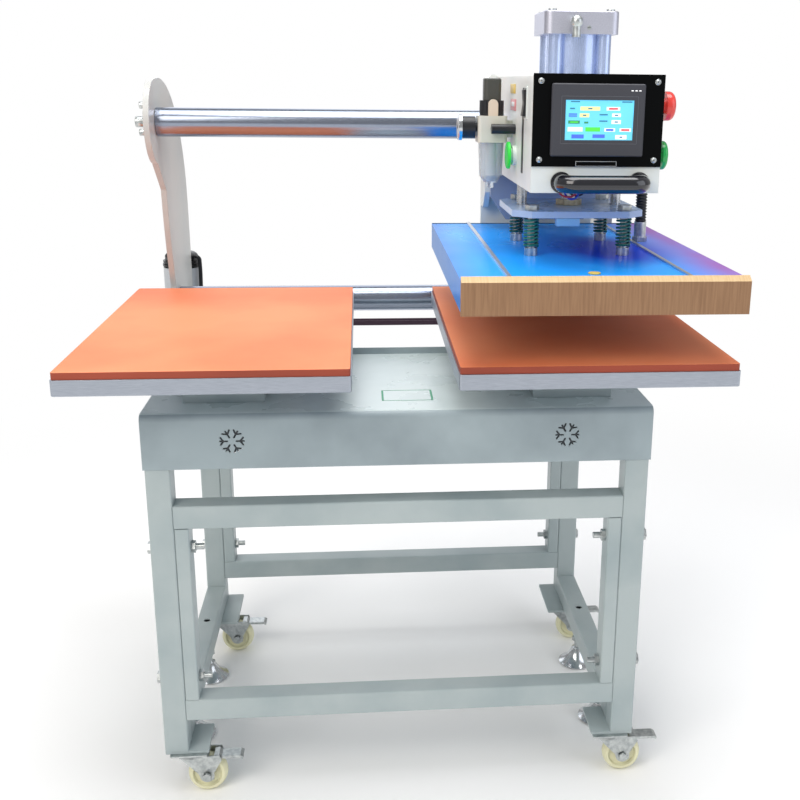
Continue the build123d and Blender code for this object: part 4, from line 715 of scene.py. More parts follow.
def add_turned(bm: bmesh.types.BMesh, place: Matrix, outline: Sequence[tuple[float, float]],
               steps: int) -> None:
    """Adds a turned shape from its half outline.

    Args:
        bm: the bmesh it goes into.
        place: the axis: the outline's heights run along its +Z.
        outline: points of radius and height in millimetres, from one end to the other.
        steps: how many steps the turn has.
    """
    before = set(bm.faces)
    verts = [bm.verts.new(Vector((radius * MM, 0, height * MM))) for radius, height in outline]
    edges = [bm.edges.new(pair) for pair in zip(verts, verts[1:])]
    bmesh.ops.spin(bm, geom=verts + edges, cent=(0, 0, 0), axis=(0, 0, 1), dvec=(0, 0, 0),
                   angle=math.tau, steps=steps, use_merge=True, use_duplicate=False)
    bmesh.ops.remove_doubles(bm, verts=corners_since(bm, before), dist=1e-6)
    bmesh.ops.transform(bm, matrix=place, verts=corners_since(bm, before))


def add_pipe(bm: bmesh.types.BMesh, path: Sequence[Vector], radius: float, sides: int,
             number: int = 0) -> None:
    """Adds a closed tube along a path by extruding a ring from point to point.

    Args:
        bm: the bmesh it goes into.
        path: the centre line's points, in metres.
        radius: the tube's radius in millimetres.
        sides: how many sides the tube has.
        number: the material number of its faces.
    """
    before = set(bm.faces)
    heading = (path[1] - path[0]).normalized()
    turn = heading.to_track_quat("Z", "Y")
    made = bmesh.ops.create_circle(bm, cap_ends=True, segments=sides, radius=radius * MM,
                                   matrix=Matrix.Translation(path[0]) @ turn.to_matrix().to_4x4())
    ring = list({face for vert in made["verts"] for face in vert.link_faces})
    for index in range(1, len(path)):
        ahead = path[min(index + 1, len(path) - 1)] - path[index - 1]
        next_heading = ahead.normalized()
        grown = bmesh.ops.extrude_face_region(bm, geom=ring, use_keep_orig=index == 1)
        moved = [item for item in grown["geom"] if isinstance(item, bmesh.types.BMVert)]
        ring = [item for item in grown["geom"] if isinstance(item, bmesh.types.BMFace)]
        bmesh.ops.translate(bm, verts=moved, vec=path[index] - path[index - 1])
        bend = heading.rotation_difference(next_heading).to_matrix()
        bmesh.ops.rotate(bm, verts=moved, cent=path[index], matrix=bend)
        heading = next_heading
    for face in faces_since(bm, before):
        face.material_index = number


@dataclass
class Stand:
    """The wheeled stand: welded tube frames, bolts, levelling feet and casters."""

    corners: tuple[str, ...] = ("front_left", "front_right", "rear_left", "rear_right")
    bearing_radius: float = 12.0
    foot_cone_top: float = 38.0
    table_top: float = 665.0
    mark_place: tuple[float, float] = (11.0, FRONT_Y + 225.0)
    mark_size: tuple[float, float] = (78.0, 56.0)
    mark_line: float = 1.6
    mark_thick: float = 0.3
    vent_x: float = 257.0
    vent_y: float = FRONT_Y + 143.4
    vent_z: float = 622.0
    vent_shade_disc: tuple[float, float] = (19.0, 0.8)

    def dress_frame(self) -> None:
        """Paints the frame and plates its hardware."""
        for node in ("side_frame_left", "side_frame_right", "front_frame", "rear_frame", "pedestals"):
            dress(node, FRAME_PAINT)
        # The table's upward faces take the paler copy of its paint: painted light from above
        dress("table_box", TABLE_PAINT, (TABLE_TOP_LIT_PAINT, lambda centre, normal: normal.z > 0.9))
        dress("stand_hardware", ZINC_PLATE)

    def dress_wheels(self) -> None:
        """Gives the casters and the feet their finishes."""
        for corner in self.corners:
            dress(f"caster_fork_{corner}", ZINC_PLATE)
            dress(f"caster_pedal_{corner}", ZINC_PLATE)
            low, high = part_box(f"caster_wheel_{corner}")
            middle = (low + high) / 2 / MM

            def is_bearing(centre: Vector, normal: Vector, axle: Vector = middle) -> bool:
                """Picks the bearing's faces round the axle."""
                return math.hypot(centre.x - axle.x, centre.z - axle.z) < self.bearing_radius

            dress(f"caster_wheel_{corner}", CREAM_NYLON, (MACHINED_STEEL, is_bearing))
            dress(f"levelling_foot_{corner}", CHROME,
                  (ZINC_PLATE, lambda centre, normal: centre.z > self.foot_cone_top))

    def build_marks(self) -> None:
        """Draws the thin green rectangle on the table's top."""
        bm = bmesh.new()
        for x, y, length, width in outline_strips(*self.mark_place, *self.mark_size, self.mark_line):
            add_block(bm, Matrix.Translation(mm(x, y, self.table_top + 0.1)),
                      (length + self.mark_line, width, self.mark_thick))
        finish_piece("table_mark", bm, [MARK_GREEN], "frame")

    def build_vent_shade(self) -> None:
        """Adds dark discs behind the two flower-shaped vents: painted shade of the table's inside, seen
        through them.
        """
        bm = bmesh.new()
        for hand in (-1, 1):
            place = aim(mm(hand * self.vent_x, self.vent_y, self.vent_z), Vector((0, 1, 0)))
            add_disc(bm, place, *self.vent_shade_disc, bevel=0.2)
        finish_piece("vent_shade_discs", bm, [VENT_SHADE], "frame")

    def build(self) -> None:
        """Builds the stand's looks."""
        self.dress_frame()
        self.dress_wheels()
        self.build_marks()
        self.build_vent_shade()


@dataclass
class Platens:
    """The two aluminium platens with their silicone pads, the guide bars and the end posts.

    Screws, washers and nuts are pairs of a radius and a height.
    """

    hands: tuple[str, str] = ("left", "right")
    post_face: float = 420.0
    bar_y: float = FRONT_Y + 541.0
    bar_z: float = 1075.0
    bolt_head: float = 12.0
    centre_nut: tuple[float, float] = (9.5, 14.0)
    screw_circle: float = 33.0
    screw_turns: tuple[float, ...] = (30.0, 120.0, 210.0, 300.0)
    washer: tuple[float, float] = (8.0, 2.0)
    screw_head: tuple[float, float] = (6.0, 13.0)
    screw_socket: tuple[float, float] = (3.0, 0.2)

    def build_screws(self) -> None:
        """Adds the ring of cap screws and the long centre nut outside each post."""
        bm = bmesh.new()
        head_foot = self.washer[1]
        head_top = head_foot + self.screw_head[1]
        for hand in (-1, 1):
            away = Vector((hand, 0, 0))
            nut = aim(mm(hand * (self.post_face + self.bolt_head), self.bar_y, self.bar_z), away)
            add_disc(bm, nut, *self.centre_nut, bevel=1.2, sides=24)
            for turn in self.screw_turns:
                angle = math.radians(turn)
                y = self.bar_y - self.screw_circle * math.sin(angle)
                z = self.bar_z + self.screw_circle * math.cos(angle)
                foot = aim(mm(hand * self.post_face, y, z), away)
                add_disc(bm, foot, *self.washer, bevel=0.4)
                add_disc(bm, foot @ lift(head_foot), *self.screw_head, bevel=1.0)
                add_disc(bm, foot @ lift(head_top), *self.screw_socket, sides=6, number=1)
        finish_piece("post_screws", bm, [ZINC_PLATE, BLACK_PLASTIC], "frame")

    def build(self) -> None:
        """Dresses the platens, pads, bars and posts."""
        self.build_screws()
        for hand in self.hands:
            dress(f"platen_{hand}", PLATEN_ALUMINIUM)
            # The pad's side faces take the darker sponge: painted shade
            dress(f"pad_{hand}", PAD_SPONGE, (PAD_SIDE_SHADE, lambda centre, normal: normal.z < 0.5))
            dress(f"post_{hand}", POST_PAINT)
        for bar in ("upper", "lower"):
            dress(f"guide_bar_{bar}", CHROME_BAR)


@dataclass
class BeltDrive:
    """The motor, its cable, the pulleys and the belt."""

    motor_foot: float = 668.5
    motor_cap: float = 766.5

    def build(self) -> None:
        """Dresses the motor, its cable, the belt and the pulleys."""
        def is_body(centre: Vector, normal: Vector) -> bool:
            """Picks the motor's grey body between its foot and its cap."""
            return self.motor_foot < centre.z < self.motor_cap

        dress("drive_motor", BLACK_PAINT, (MOTOR_GREY, is_body))
        dress("motor_cable", HOSE_BLACK)
        dress("drive_belt", BELT_RUBBER)
        for pulley in ("drive_pulley", "idler_pulley"):
            dress(pulley, CAP_ALUMINIUM)


@dataclass
class Carriage:
    """The sliding carriage with its bearing blocks, web, arm and belt clamp."""

    block_front: float = FRONT_Y + 507.0
    block_bottom: float = 1014.0
    web_half: float = 102.0
    web_reach: tuple[float, float] = (FRONT_Y + 506.0, FRONT_Y + 518.0)

    def is_painted_shade(self, centre: Vector, normal: Vector) -> bool:
        """Picks the faces of the web and of the arm before the block, which take painted shade and a painted
        reflection of the blue film.

        Args:
            centre: a face's centre, in millimetres.
            normal: the face's normal.

        Returns:
            Whether the face takes the blue-grey painted shade.
        """
        if centre.y < self.block_front and centre.z <= self.block_bottom + 0.5:
            return True
        across = abs(centre.x - PRESS_X) < self.web_half
        return across and centre.z < self.block_bottom - 0.5 and (
            self.web_reach[0] < centre.y < self.web_reach[1])

    def build(self) -> None:
        """Paints the block and the rear plate white, and gives the web and the arm a blue-grey painted shade
        and reflection.
        """
        dress("carriage", WHITE_PAINT, (SHADED_BLUE_PAINT, self.is_painted_shade))
        dress("bushes", BRASS_NUT)


@dataclass
class HeadHousing:
    """The head's shell, its black front panel, the operator's screen and the handle.

    Fields and inks of the screen are shares of its width and height: the middle across and up,
    the width, the height, and the finish.
    """

    left: float = 181.0
    right: float = 366.0
    front: float = FRONT_Y + 100.0
    panel: float = 3.0
    bezel: float = 6.0
    screen_x: float = 273.7
    screen_z: float = 1099.0
    screen_width: float = 96.0
    screen_height: float = 54.0
    rim_margin: tuple[float, float] = (12.0, 10.0)
    rim_line: float = 0.7
    lamps_x: tuple[float, ...] = (318.5, 324.0, 329.5)
    lamps_z: float = 1139.0
    lamp_size: tuple[float, float, float] = (3.2, 1.1, 0.5)
    screw_inset: float = 10.5
    screws_z: tuple[float, float] = (1044.5, 1151.0)
    screw_washer: tuple[float, float] = (4.2, 0.8)
    screw_head: tuple[float, float] = (3.6, 1.5)
    screw_crown: float = 2.0
    cross_size: tuple[float, float, float] = (3.0, 0.7, 0.25)
    cross_turns: tuple[float, float] = (20.0, 110.0)
    nameplate: tuple[float, float, float, float] = (273.0, 1039.1, 58.0, 6.4)
    nameplate_line: float = 0.5
    labels: tuple[tuple[float, float, float, float, float, Finish], ...] = (
        (-150.0, 1139.0, 52.0, 14.0, 0.5, YELLOW_LABEL), (-158.0, 1115.0, 56.0, 17.0, 0.5, PINK_LABEL),
        (-158.0, 1116.0, 30.0, 7.0, 0.9, WHITE_PLASTIC), (-262.0, 1080.0, 13.0, 122.0, 0.5, BLACK_PLASTIC),
    )
    label_thick: float = 1.0
    wires: tuple[tuple[float, float, float], ...] = (
        (243.0, 14.0, 13.0), (249.0, 11.0, 16.0), (256.0, 12.0, 11.0),
    )
    wire_y: float = PRESS_Y - 148.0
    wire_z: float = 1001.0
    wire_sway: float = 3.0
    wire_radius: float = 1.6
    wire_steps: int = 16
    fields: tuple[ScreenField, ...] = (
        (0.36, 0.79, 0.29, 0.10, SCREEN_YELLOW), (0.70, 0.79, 0.20, 0.09, SCREEN_WHITE),
        (0.28, 0.62, 0.14, 0.10, SCREEN_YELLOW), (0.75, 0.63, 0.13, 0.09, SCREEN_WHITE),
        (0.13, 0.45, 0.17, 0.08, SCREEN_DARK_GREEN), (0.75, 0.46, 0.14, 0.10, SCREEN_WHITE),
        (0.15, 0.27, 0.22, 0.11, SCREEN_WHITE), (0.41, 0.27, 0.22, 0.11, SCREEN_GREEN),
        (0.66, 0.26, 0.16, 0.09, SCREEN_WHITE), (0.89, 0.26, 0.17, 0.09, SCREEN_WHITE),
        (0.19, 0.09, 0.18, 0.10, SCREEN_BLUE), (0.50, 0.10, 0.18, 0.09, SCREEN_BLUE),
        (0.83, 0.08, 0.17, 0.11, SCREEN_WHITE), (0.31, 0.44, 0.06, 0.05, SCREEN_DARK_GREEN),
    )
    inks: tuple[ScreenField, ...] = (
        (0.14, 0.96, 0.13, 0.025, SCREEN_INK), (0.90, 0.96, 0.15, 0.025, SCREEN_INK),
        (0.10, 0.79, 0.07, 0.03, SCREEN_INK), (0.11, 0.65, 0.12, 0.03, SCREEN_BLUE),
        (0.11, 0.60, 0.12, 0.03, SCREEN_BLUE), (0.56, 0.64, 0.12, 0.03, SCREEN_INK),
        (0.56, 0.48, 0.12, 0.03, SCREEN_INK), (0.70, 0.79, 0.13, 0.05, SCREEN_RED),
        (0.13, 0.45, 0.11, 0.03, SCREEN_GREEN), (0.66, 0.26, 0.11, 0.05, SCREEN_BLUE),
        (0.89, 0.26, 0.12, 0.05, SCREEN_RED), (0.36, 0.79, 0.06, 0.03, SCREEN_INK),
        (0.28, 0.62, 0.05, 0.03, SCREEN_INK), (0.75, 0.63, 0.05, 0.03, SCREEN_INK),
        (0.75, 0.46, 0.05, 0.03, SCREEN_INK), (0.83, 0.08, 0.04, 0.03, SCREEN_INK),
    )

    def panel_place(self, x: float, z: float, depth: float) -> Matrix:
        """A place on the front panel, facing the operator, depth millimetres before the shell."""
        return aim(mm(x, self.front - depth, z), Vector((0, -1, 0)))

    def dress_shell(self) -> None:
        """Gives the shell, panel, bezel and handle their finishes."""
        dress("head_housing", WHITE_PAINT)
        dress("front_panel", PANEL_BLACK)
        dress("handle", HANDLE_BLACK)
        recess = self.front - self.panel - self.bezel
        half_width = self.screen_width / 2 + 0.2
        half_height = self.screen_height / 2 + 0.2

        def is_display(centre: Vector, normal: Vector) -> bool:
            """Picks the recessed display's faces."""
            level = abs(centre.x - self.screen_x) < half_width and abs(centre.z - self.screen_z) < half_height
            return level and recess + 0.5 < centre.y < recess + 2.0

        dress("touch_screen", BEZEL_BLACK, (SCREEN_CYAN, is_display))

    def build_screen(self) -> None:
        """Lays plain fields and buttons on the display, without words."""
        finishes = [SCREEN_CYAN]
        bm = bmesh.new()
        depth = self.panel + self.bezel - 1.0
        add_block(bm, self.panel_place(self.screen_x, self.screen_z, depth),
                  (self.screen_width - 0.6, self.screen_height - 0.6, 0.5))
        for layer, rows in ((0.35, self.fields), (0.6, self.inks)):
            for across, up, width, height, finish in rows:
                if finish not in finishes:
                    finishes.append(finish)
                x = self.screen_x + (across - 0.5) * self.screen_width
                z = self.screen_z + (up - 0.5) * self.screen_height
                size = (width * self.screen_width, height * self.screen_height, 0.2)
                add_block(bm, self.panel_place(x, z, depth + layer), size, number=finishes.index(finish))
        finish_piece("screen_picture", bm, finishes, "carriage")

    def build_bezel(self) -> None:
        """Adds the grey frame round the display and the three small lamps above it."""
        bm = bmesh.new()
        face = self.panel + self.bezel + 0.05
        width = self.screen_width + self.rim_margin[0]
        height = self.screen_height + self.rim_margin[1]
        for x, z, across, up in outline_strips(self.screen_x, self.screen_z, width, height, self.rim_line):
            add_block(bm, self.panel_place(x, z, face), (across, up, 0.3))
        for x in self.lamps_x:
            add_block(bm, self.panel_place(x, self.lamps_z, face), self.lamp_size, number=1)
        finish_piece("bezel_marks", bm, [DISPLAY_RIM, LED_WHITE], "carriage")

    def build_screws(self) -> None:
        """Adds four cross-head screws at the panel's corners and the bare nameplate's outline."""
        bm = bmesh.new()
        for x in (self.left + self.screw_inset, self.right - self.screw_inset):
            for z in self.screws_z:
                place = self.panel_place(x, z, self.panel)
                add_disc(bm, place, *self.screw_washer, bevel=0.3)
                add_disc(bm, place @ lift(0.7), *self.screw_head, top_radius=self.screw_crown, bevel=0.3)
                for turn in self.cross_turns:
                    cross = place @ lift(2.2) @ Matrix.Rotation(math.radians(turn), 4, "Z")
                    add_block(bm, cross, self.cross_size, number=1)
        for x, z, width, height in outline_strips(*self.nameplate, self.nameplate_line):
            add_block(bm, self.panel_place(x, z, self.panel), (width, height, 0.2), number=2)
        finish_piece("panel_screws", bm, [ZINC_PLATE, BLACK_PLASTIC, WHITE_PLASTIC], "carriage")

    def build_side_labels(self) -> None:
        """Adds the blank yellow and pink labels and the black edge strip on the shell's left side."""
        bm = bmesh.new()
        for number, (y, z, width, height, proud, _) in enumerate(self.labels):
            place = aim(mm(self.left - proud, y, z), Vector((-1, 0, 0)))
            add_block(bm, place, (width, height, self.label_thick), bevel=0.3, number=number)
        finishes = [label[-1] for label in self.labels]
        finish_piece("side_labels", bm, finishes, "carriage")

    def build_wires(self) -> None:
        """Loops three sensor wires out of the shell's underside."""
        bm = bmesh.new()
        for number, (x, reach, drop) in enumerate(self.wires):
            path = []
            for step in range(self.wire_steps + 1):
                angle = math.pi * step / self.wire_steps
                path.append(mm(x - reach * math.cos(angle),
                               self.wire_y + self.wire_sway * math.sin(2 * angle),
                               self.wire_z - drop * math.sin(angle)))
            add_pipe(bm, path, self.wire_radius, sides=8, number=number)
        finish_piece("sensor_wires", bm, [WIRE_RED, WIRE_BLUE, HOSE_BLACK], "carriage")

    def build(self) -> None:
        """Builds the head's looks."""
        self.build_side_labels()
        self.build_wires()
        self.dress_shell()
        self.build_screen()
        self.build_bezel()
        self.build_screws()


@dataclass
class PressCylinder:
    """The air cylinder on the head, with its cap, screws and port."""

    foot_top: float = 1047.0
    cap_bottom: float = 1219.0
    cap_top: float = 1252.0
    side: float = 113.0
    screw_offset: float = 44.0
    screw_hole: tuple[float, float] = (9.0, 0.4)
    screw_head: tuple[float, float] = (6.5, 3.0)
    screw_socket: tuple[float, float] = (3.2, 0.15)
    valve_place: tuple[float, float] = (PRESS_X + 10.0, 1228.0)
    valve_radius: float = 3.2

    def build_screws(self) -> None:
        """Adds the cap's four socket screws and the small slotted screw on its front."""
        bm = bmesh.new()
        for dx in (-self.screw_offset, self.screw_offset):
            for dy in (-self.screw_offset, self.screw_offset):
                place = Matrix.Translation(mm(PRESS_X + dx, PRESS_Y + dy, self.cap_top - 0.2))
                add_disc(bm, place, *self.screw_hole, number=1)
                add_disc(bm, place, *self.screw_head, bevel=0.6)
                add_disc(bm, place @ lift(self.screw_head[1]), *self.screw_socket, sides=6, number=1)
        x, z = self.valve_place
        valve = aim(mm(x, PRESS_Y - self.side / 2 + 0.1, z), Vector((0, -1, 0)))
        add_disc(bm, valve, self.valve_radius, 1.0, bevel=0.3)
        add_block(bm, valve @ lift(1.1), (self.valve_radius * 1.5, 0.7, 0.25), number=1)
        finish_piece("cylinder_screws", bm, [ZINC_PLATE, BLACK_PLASTIC], "carriage")

    def build(self) -> None:
        """Dresses the cylinder and adds its screws."""
        def is_barrel(centre: Vector, normal: Vector) -> bool:
            """Picks the faces of the anodised barrel."""
            return self.foot_top + 0.5 < centre.z < self.cap_bottom - 0.5

        dress("cylinder", CAP_ALUMINIUM, (BARREL_ALUMINIUM, is_barrel))
        self.build_screws()


@dataclass
class HeatPlaten:
    """The heat platen: film-covered tray, taped front bar, studs, springs and the hose's gland."""

    bar_back: float = FRONT_Y
    cover_top: float = 892.0
    nut_reach: tuple[float, float] = (961.0, 971.0)
    stud_dx: float = 72.0
    stud_dy: float = 80.0
    spring_foot: float = 904.3
    plate_under: float = 950.9
    wire: float = 1.75
    coil: float = 10.3
    turns: int = 7
    closed_turns: float = 0.75
    steps_per_turn: int = 28
    block_place: tuple[float, float] = (255.0, PRESS_Y - 92.0)
    block_size: tuple[float, float, float] = (36.0, 16.0, 12.0)
    rim_y: float = FRONT_Y + 588.0
    rim_size: tuple[float, float, float] = (399.0, 3.0, 1.0)
    tag_place: tuple[float, float] = (266.0, FRONT_Y + 43.0)
    tag_size: tuple[float, float] = (9.0, 2.4)
    tag_sides: int = 9

    def dress_platen(self) -> None:
        """Gives the block, cover and studs their finishes."""
        def is_bar_top(centre: Vector, normal: Vector) -> bool:
            """Picks the sloping top of the front bar."""
            return centre.y < self.bar_back + 0.05 and normal.z > 0.3

        def is_bar(centre: Vector, normal: Vector) -> bool:
            """Picks the front bar's other faces."""
            return centre.y < self.bar_back + 0.05 and normal.z <= 0.3

        def is_strip(centre: Vector, normal: Vector) -> bool:
            """Picks the two raised strips."""
            return centre.z > self.cover_top + 0.2 and centre.y > self.bar_back

        def is_nut(centre: Vector, normal: Vector) -> bool:
            """Picks the nut that holds the spring plate on its rod."""
            return self.nut_reach[0] < centre.z < self.nut_reach[1]

        dress("heat_block", PLATEN_ALUMINIUM)
        # The front bar's sloping top takes the paler tape: painted light from above
        dress("heat_cover", FILM_BLUE, (TAPE_TOP_LIT, is_bar_top), (TAPE_FRONT, is_bar), (STRIP_STEEL, is_strip))
        dress("spring_studs", ZINC_PLATE)
        dress("spring_plate", PLATE_STEEL)
        dress("press_rods", MACHINED_STEEL, (BRASS_NUT, is_nut))
        dress("conduit_gland", ZINC_PLATE)

    def spring_path(self, centre: Vector, low: float, high: float) -> list[Vector]:
        """The centre line of one spring's wire, with closed ends.

        Args:
            centre: the spring's axis, at height 0, in metres.
            low: the height of the wire's lower end, in millimetres.
            high: the height of its upper end.

        Returns:
            The points of the line, in metres.
        """
        closed_rise = 2 * self.wire
        open_rise = high - low - 2 * self.closed_turns * closed_rise
        path = []
        for step in range(int((self.turns + 2 * self.closed_turns) * self.steps_per_turn) + 1):
            turned = step / self.steps_per_turn
            live = min(max((turned - self.closed_turns) / self.turns, 0.0), 1.0)
            closed = min(turned, self.closed_turns) + max(turned - self.closed_turns - self.turns, 0.0)
            angle = turned * math.tau
            path.append(centre + mm(self.coil * math.cos(angle), self.coil * math.sin(angle),
                                    low + closed * closed_rise + live * open_rise))
        return path

    def build_springs(self) -> None:
        """Winds the four springs in place of the CAD springs, which it hides."""
        low = self.spring_foot + self.wire
        high = self.plate_under - self.wire
        for number, (sx, sy) in enumerate(((-1, -1), (-1, 1), (1, -1), (1, 1)), start=1):
            centre = mm(PRESS_X + sx * self.stud_dx, PRESS_Y + sy * self.stud_dy, 0)
            bm = bmesh.new()
            add_pipe(bm, self.spring_path(centre, low, high), self.wire, sides=10)
            spring = finish_piece(f"spring_{number}", bm, [SPRING_GREEN], None,
                                  smooth_angle=60)
            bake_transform(spring)
        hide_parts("springs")

    def build_block(self) -> None:
        """Adds the small pale-blue block under the spring plate's front edge."""
        bm = bmesh.new()
        x, y = self.block_place
        middle = self.plate_under - self.block_size[2] / 2 - 0.1
        add_block(bm, Matrix.Translation(mm(x, y, middle)), self.block_size, bevel=1.0)
        finish_piece("plate_block", bm, [PALE_BLUE_PLASTIC], "press")

    def build_trim(self) -> None:
        """Adds the black rear rim of the cover and the small yellow tag at its front."""
        bm = bmesh.new()
        rim = Matrix.Translation(mm(PRESS_X, self.rim_y, self.cover_top + 0.4))
        add_block(bm, rim, self.rim_size, bevel=0.3)
        tag = Matrix.Translation(mm(*self.tag_place, self.cover_top - 0.1))
        add_disc(bm, tag, *self.tag_size, bevel=1.0, sides=self.tag_sides, number=1)
        finish_piece("cover_trim", bm, [BLACK_PLASTIC, YELLOW_LABEL], "heat_platen")

    def build(self) -> None:
        """Builds the heat platen's looks."""
        self.dress_platen()
        self.build_springs()
        self.build_block()
        self.build_trim()


@dataclass
class Conduit:
    """The ribbed hose between the head and the heat platen, and its elbow."""

    x: float = 411.0
    y: float = FRONT_Y + 356.0
    low: float = 925.3
    high: float = 1040.0
    crest: float = 9.5
    root: float = 7.9
    bore: float = 6.5
    pitch: float = 4.6
    air_elbow_foot: float = 1180.0

    def build(self) -> None:
        """Builds the hose with rounded ribs in place of the CAD conduit, which it hides."""
        dress("fittings", BLACK_PLASTIC, (ZINC_PLATE, lambda centre, normal: centre.z > self.air_elbow_foot))
        ribs = int((self.high - self.low) / self.pitch)
        step = (self.high - self.low) / ribs
        shoulder = self.crest - 0.3
        profile = ((0.12, self.root), (0.28, shoulder), (0.42, self.crest), (0.58, self.crest),
                   (0.72, shoulder), (0.88, self.root))
        outline = [(self.bore, self.low), (self.root, self.low)]
        for rib in range(ribs):
            outline += [(radius, self.low + (rib + share) * step) for share, radius in profile]
        outline += [(self.root, self.high), (self.bore, self.high), (self.bore, self.low)]
        bm = bmesh.new()
        add_turned(bm, Matrix.Translation(mm(self.x, self.y, 0)), outline, steps=28)
        hose = finish_piece("conduit_hose", bm, [HOSE_BLACK], None, smooth_angle=50)
        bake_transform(hose)
        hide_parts("conduit")


@dataclass
class AirGear:
    """The filter regulator with its gauge, knob and bowl, and the buttons and switch."""

    regulator_x: float = 148.0
    regulator_y: float = FRONT_Y + 300.0
    ring: tuple[float, float] = (1098.0, 1121.2)
    ring_radius: float = 19.6
    tab_reach: tuple[float, float] = (19.0, 24.5)
    bezel_x: float = 101.2
    dial_x: float = 95.0
    dial_z: float = 1080.0
    dial: tuple[float, float] = (17.6, 0.3)
    tick_radius: float = 14.5
    tick_size: tuple[float, float, float] = (0.7, 3.2, 0.15)
    ticks: int = 11
    dial_sweep: float = 270.0
    pointer_turn: float = -40.0
    pointer_shift: tuple[float, float] = (5.0, 0.6)
    pointer_size: tuple[float, float, float] = (0.9, 14.0, 0.2)
    hub: tuple[float, float] = (2.4, 1.0)
    filter_foot: float = 1006.0
    filter_size: tuple[float, float] = (8.5, 50.0)
    collar_x: float = 172.0

    def dress_regulator(self) -> None:
        """Gives the regulator's pieces their finishes."""
        def is_ring(centre: Vector, normal: Vector) -> bool:
            """Picks the ribbed black ring."""
            near = math.hypot(centre.x - self.regulator_x, centre.y - self.regulator_y) < self.ring_radius
            return self.ring[0] + 0.1 < centre.z < self.ring[1] + 0.5 and near

        def is_tab(centre: Vector, normal: Vector) -> bool:
            """Picks the beige tab in front of the ring."""
            forward = self.regulator_y - centre.y
            return self.tab_reach[0] < forward < self.tab_reach[1] and centre.z > self.ring[0] - 6

        dress("regulator_body", GREY_PLASTIC, (BLACK_PLASTIC, is_ring), (BEIGE_PLASTIC, is_tab))
        dress("regulator_knob", KNOB_GREY)
        dress("regulator_bowl", BOWL_CLEAR)
        dress("pressure_gauge", BLACK_PLASTIC, (CHROME, lambda centre, normal: centre.x < self.bezel_x))

    def build_gauge_face(self) -> None:
        """Adds the gauge's white dial with plain ticks and a pointer, and the filter in the bowl."""
        bm = bmesh.new()
        place = aim(mm(self.dial_x, self.regulator_y, self.dial_z), Vector((-1, 0, 0)))
        add_disc(bm, place, *self.dial)
        for tick in range(self.ticks):
            angle = math.radians(self.dial_sweep * (tick / (self.ticks - 1) - 0.5))
            mark = Matrix.Rotation(angle, 4, "Z") @ Matrix.Translation(mm(0, self.tick_radius, self.dial[1]))
            add_block(bm, place @ mark, self.tick_size, number=1)
        pointer = place @ Matrix.Rotation(math.radians(self.pointer_turn), 4, "Z")
        shifted = pointer @ Matrix.Translation(mm(0, *self.pointer_shift))
        add_block(bm, shifted, self.pointer_size, number=1)
        add_disc(bm, place, *self.hub, bevel=0.2, number=1)
        foot = mm(self.regulator_x, self.regulator_y, self.filter_foot)
        add_disc(bm, Matrix.Translation(foot), *self.filter_size, bevel=1.0)
        finish_piece("gauge_dial", bm, [GAUGE_WHITE, BLACK_PLASTIC], "carriage")

    def dress_buttons(self) -> None:
        """Gives the buttons and the switch their finishes."""
        dress("stop_button", RED_PLASTIC)
        dress("start_button_right", GREEN_PLASTIC)
        dress("start_button_left", GREEN_LAMP,
              (WHITE_PLASTIC, lambda centre, normal: centre.x > self.collar_x))
        dress("rocker_switch", BLACK_PLASTIC)

    def build(self) -> None:
        """Builds the air gear's looks."""
        self.dress_regulator()
        self.build_gauge_face()
        self.dress_buttons()


@dataclass(frozen=True)
class Lamp:
    """A soft square lamp: its name, place, side in metres, power in watts and colour."""

    name: str
    place: tuple[float, float, float]
    side: float
    power: float
    colour: str

    def build(self, target: Vector) -> None:
        """Adds the lamp, pointing at a target in metres.

        Args:
            target: what it points at.
        """
        data = bpy.data.lights.new(self.name, "AREA")
        data.shape = "SQUARE"
        data.size = self.side
        data.energy = self.power
        data.color = srgb(self.colour)[:3]
        lamp = bpy.data.objects.new(self.name, data)
        bpy.context.scene.collection.objects.link(lamp)
        place = Vector(self.place)
        turn = (target - place).to_track_quat("-Z", "Y").to_matrix().to_4x4()
        lamp.matrix_world = Matrix.Translation(place) @ turn


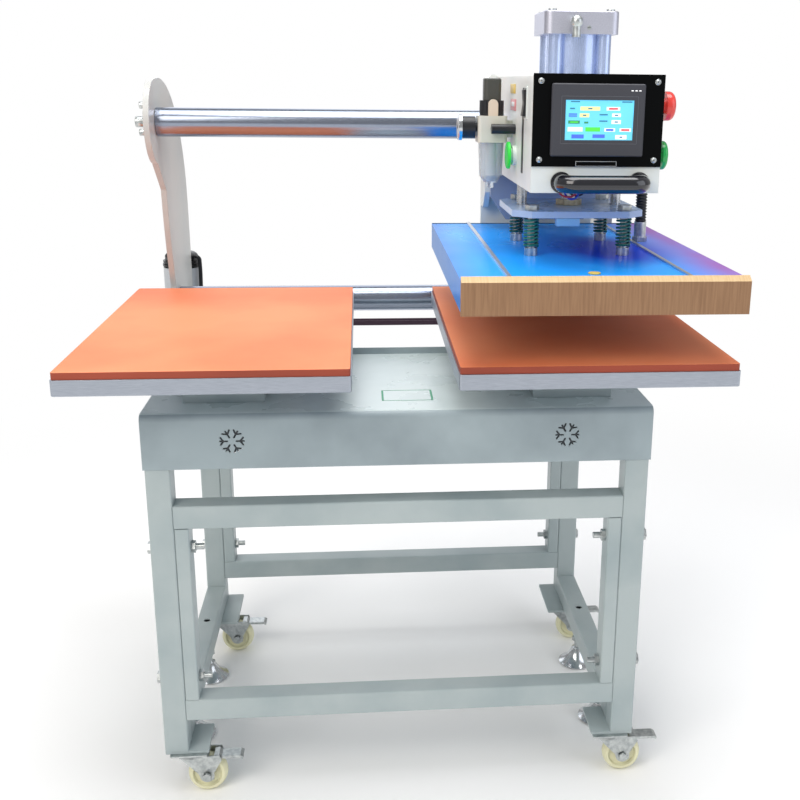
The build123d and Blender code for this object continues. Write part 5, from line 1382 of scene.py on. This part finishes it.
@dataclass
class Studio:
    """The pale floor, the lamps, the plain world and the camera."""

    lens: float = 47.36
    shift: tuple[float, float] = (-0.0791, -0.0243)
    place: tuple[float, float, float] = (-57.0, FRONT_Y - 1389.5, WORK_HEIGHT + 377.0)
    pitch: float = 15.8
    yaw: float = 5.6
    roll: float = -0.7
    target: tuple[float, float, float] = (0.0, 0.0, 0.7)
    lamps: tuple[Lamp, ...] = (
        Lamp("key", (-1.8, -2.6, 2.8), 2.2, 66.0, "#fffaf2"),
        Lamp("fill", (2.6, -1.8, 2.0), 2.4, 26.0, "#f1f6ff"),
        Lamp("top", (0.1, -0.2, 3.4), 2.2, 74.0, "#ffffff"),
        Lamp("back", (-0.6, 3.0, 2.2), 2.4, 22.0, "#f6f9ff"),
    )
    world_glow: float = 0.36
    floor_half: float = 14.0

    def build_camera(self) -> None:
        """Sets the camera as it was fitted to the photograph."""
        pitch, yaw, roll = (math.radians(angle) for angle in (self.pitch, self.yaw, self.roll))
        ahead = Vector((math.sin(yaw) * math.cos(pitch), math.cos(yaw) * math.cos(pitch), -math.sin(pitch)))
        right = Vector((math.cos(yaw), -math.sin(yaw), 0))
        down = ahead.cross(right)
        rolled_right = right * math.cos(roll) + down * math.sin(roll)
        rolled_down = down * math.cos(roll) - right * math.sin(roll)
        turn = Matrix((rolled_right, -rolled_down, -ahead)).transposed()
        data = bpy.data.cameras.new("camera")
        data.sensor_width = 36.0
        data.lens = self.lens
        data.shift_x, data.shift_y = self.shift
        data.clip_end = 60.0
        camera = bpy.data.objects.new("camera", data)
        bpy.context.scene.collection.objects.link(camera)
        camera.matrix_world = Matrix.Translation(mm(*self.place)) @ turn.to_4x4()
        bpy.context.scene.camera = camera

    def build_light(self) -> None:
        """Lights the machine from the front left, from the right, from above and from behind."""
        for lamp in self.lamps:
            lamp.build(Vector(self.target))
        world = bpy.data.worlds.new("plain_world")
        world.use_nodes = True
        tree = world.node_tree
        tree.nodes.clear()
        rays = add_node(tree, "ShaderNodeLightPath", {}, {})
        seen = add_node(tree, "ShaderNodeMath", {"operation": "MAXIMUM"},
                        {0: rays.outputs["Is Camera Ray"], 1: rays.outputs["Is Transmission Ray"]})
        level = add_node(tree, "ShaderNodeMapRange", {},
                         {"Value": seen.outputs["Value"], "To Min": self.world_glow, "To Max": 1.0})
        sky = add_node(tree, "ShaderNodeBackground", {},
                       {"Color": srgb("#ffffff"), "Strength": level.outputs["Result"]})
        add_node(tree, "ShaderNodeOutputWorld", {}, {"Surface": sky.outputs["Background"]})
        bpy.context.scene.world = world

    def build_floor(self) -> None:
        """Lays a wide pale floor that keeps the machine's shadow."""
        bm = bmesh.new()
        bmesh.ops.create_grid(bm, x_segments=2, y_segments=2, size=self.floor_half)
        mesh = bpy.data.meshes.new("floor")
        bm.to_mesh(mesh)
        bm.free()
        mesh.materials.append(StudioPaper("pale_studio_paper", "#ffffff").material())
        floor = bpy.data.objects.new("floor", mesh)
        bpy.context.scene.collection.objects.link(floor)

    def build(self) -> None:
        """Sets up the studio."""
        self.build_camera()
        self.build_light()
        self.build_floor()
        bpy.context.scene.view_settings.view_transform = "Standard"


def main() -> None:
    """Builds every sub-assembly in order and reports it."""
    logging.basicConfig(level=logging.INFO, format="%(name)s %(message)s")
    for assembly in (Stand(), Platens(), BeltDrive(), Carriage(), HeadHousing(), PressCylinder(),
                     HeatPlaten(), Conduit(), AirGear(), Studio()):
        assembly.build()
        log.info("built %s", type(assembly).__name__)


if __name__ == "__main__":
    main()
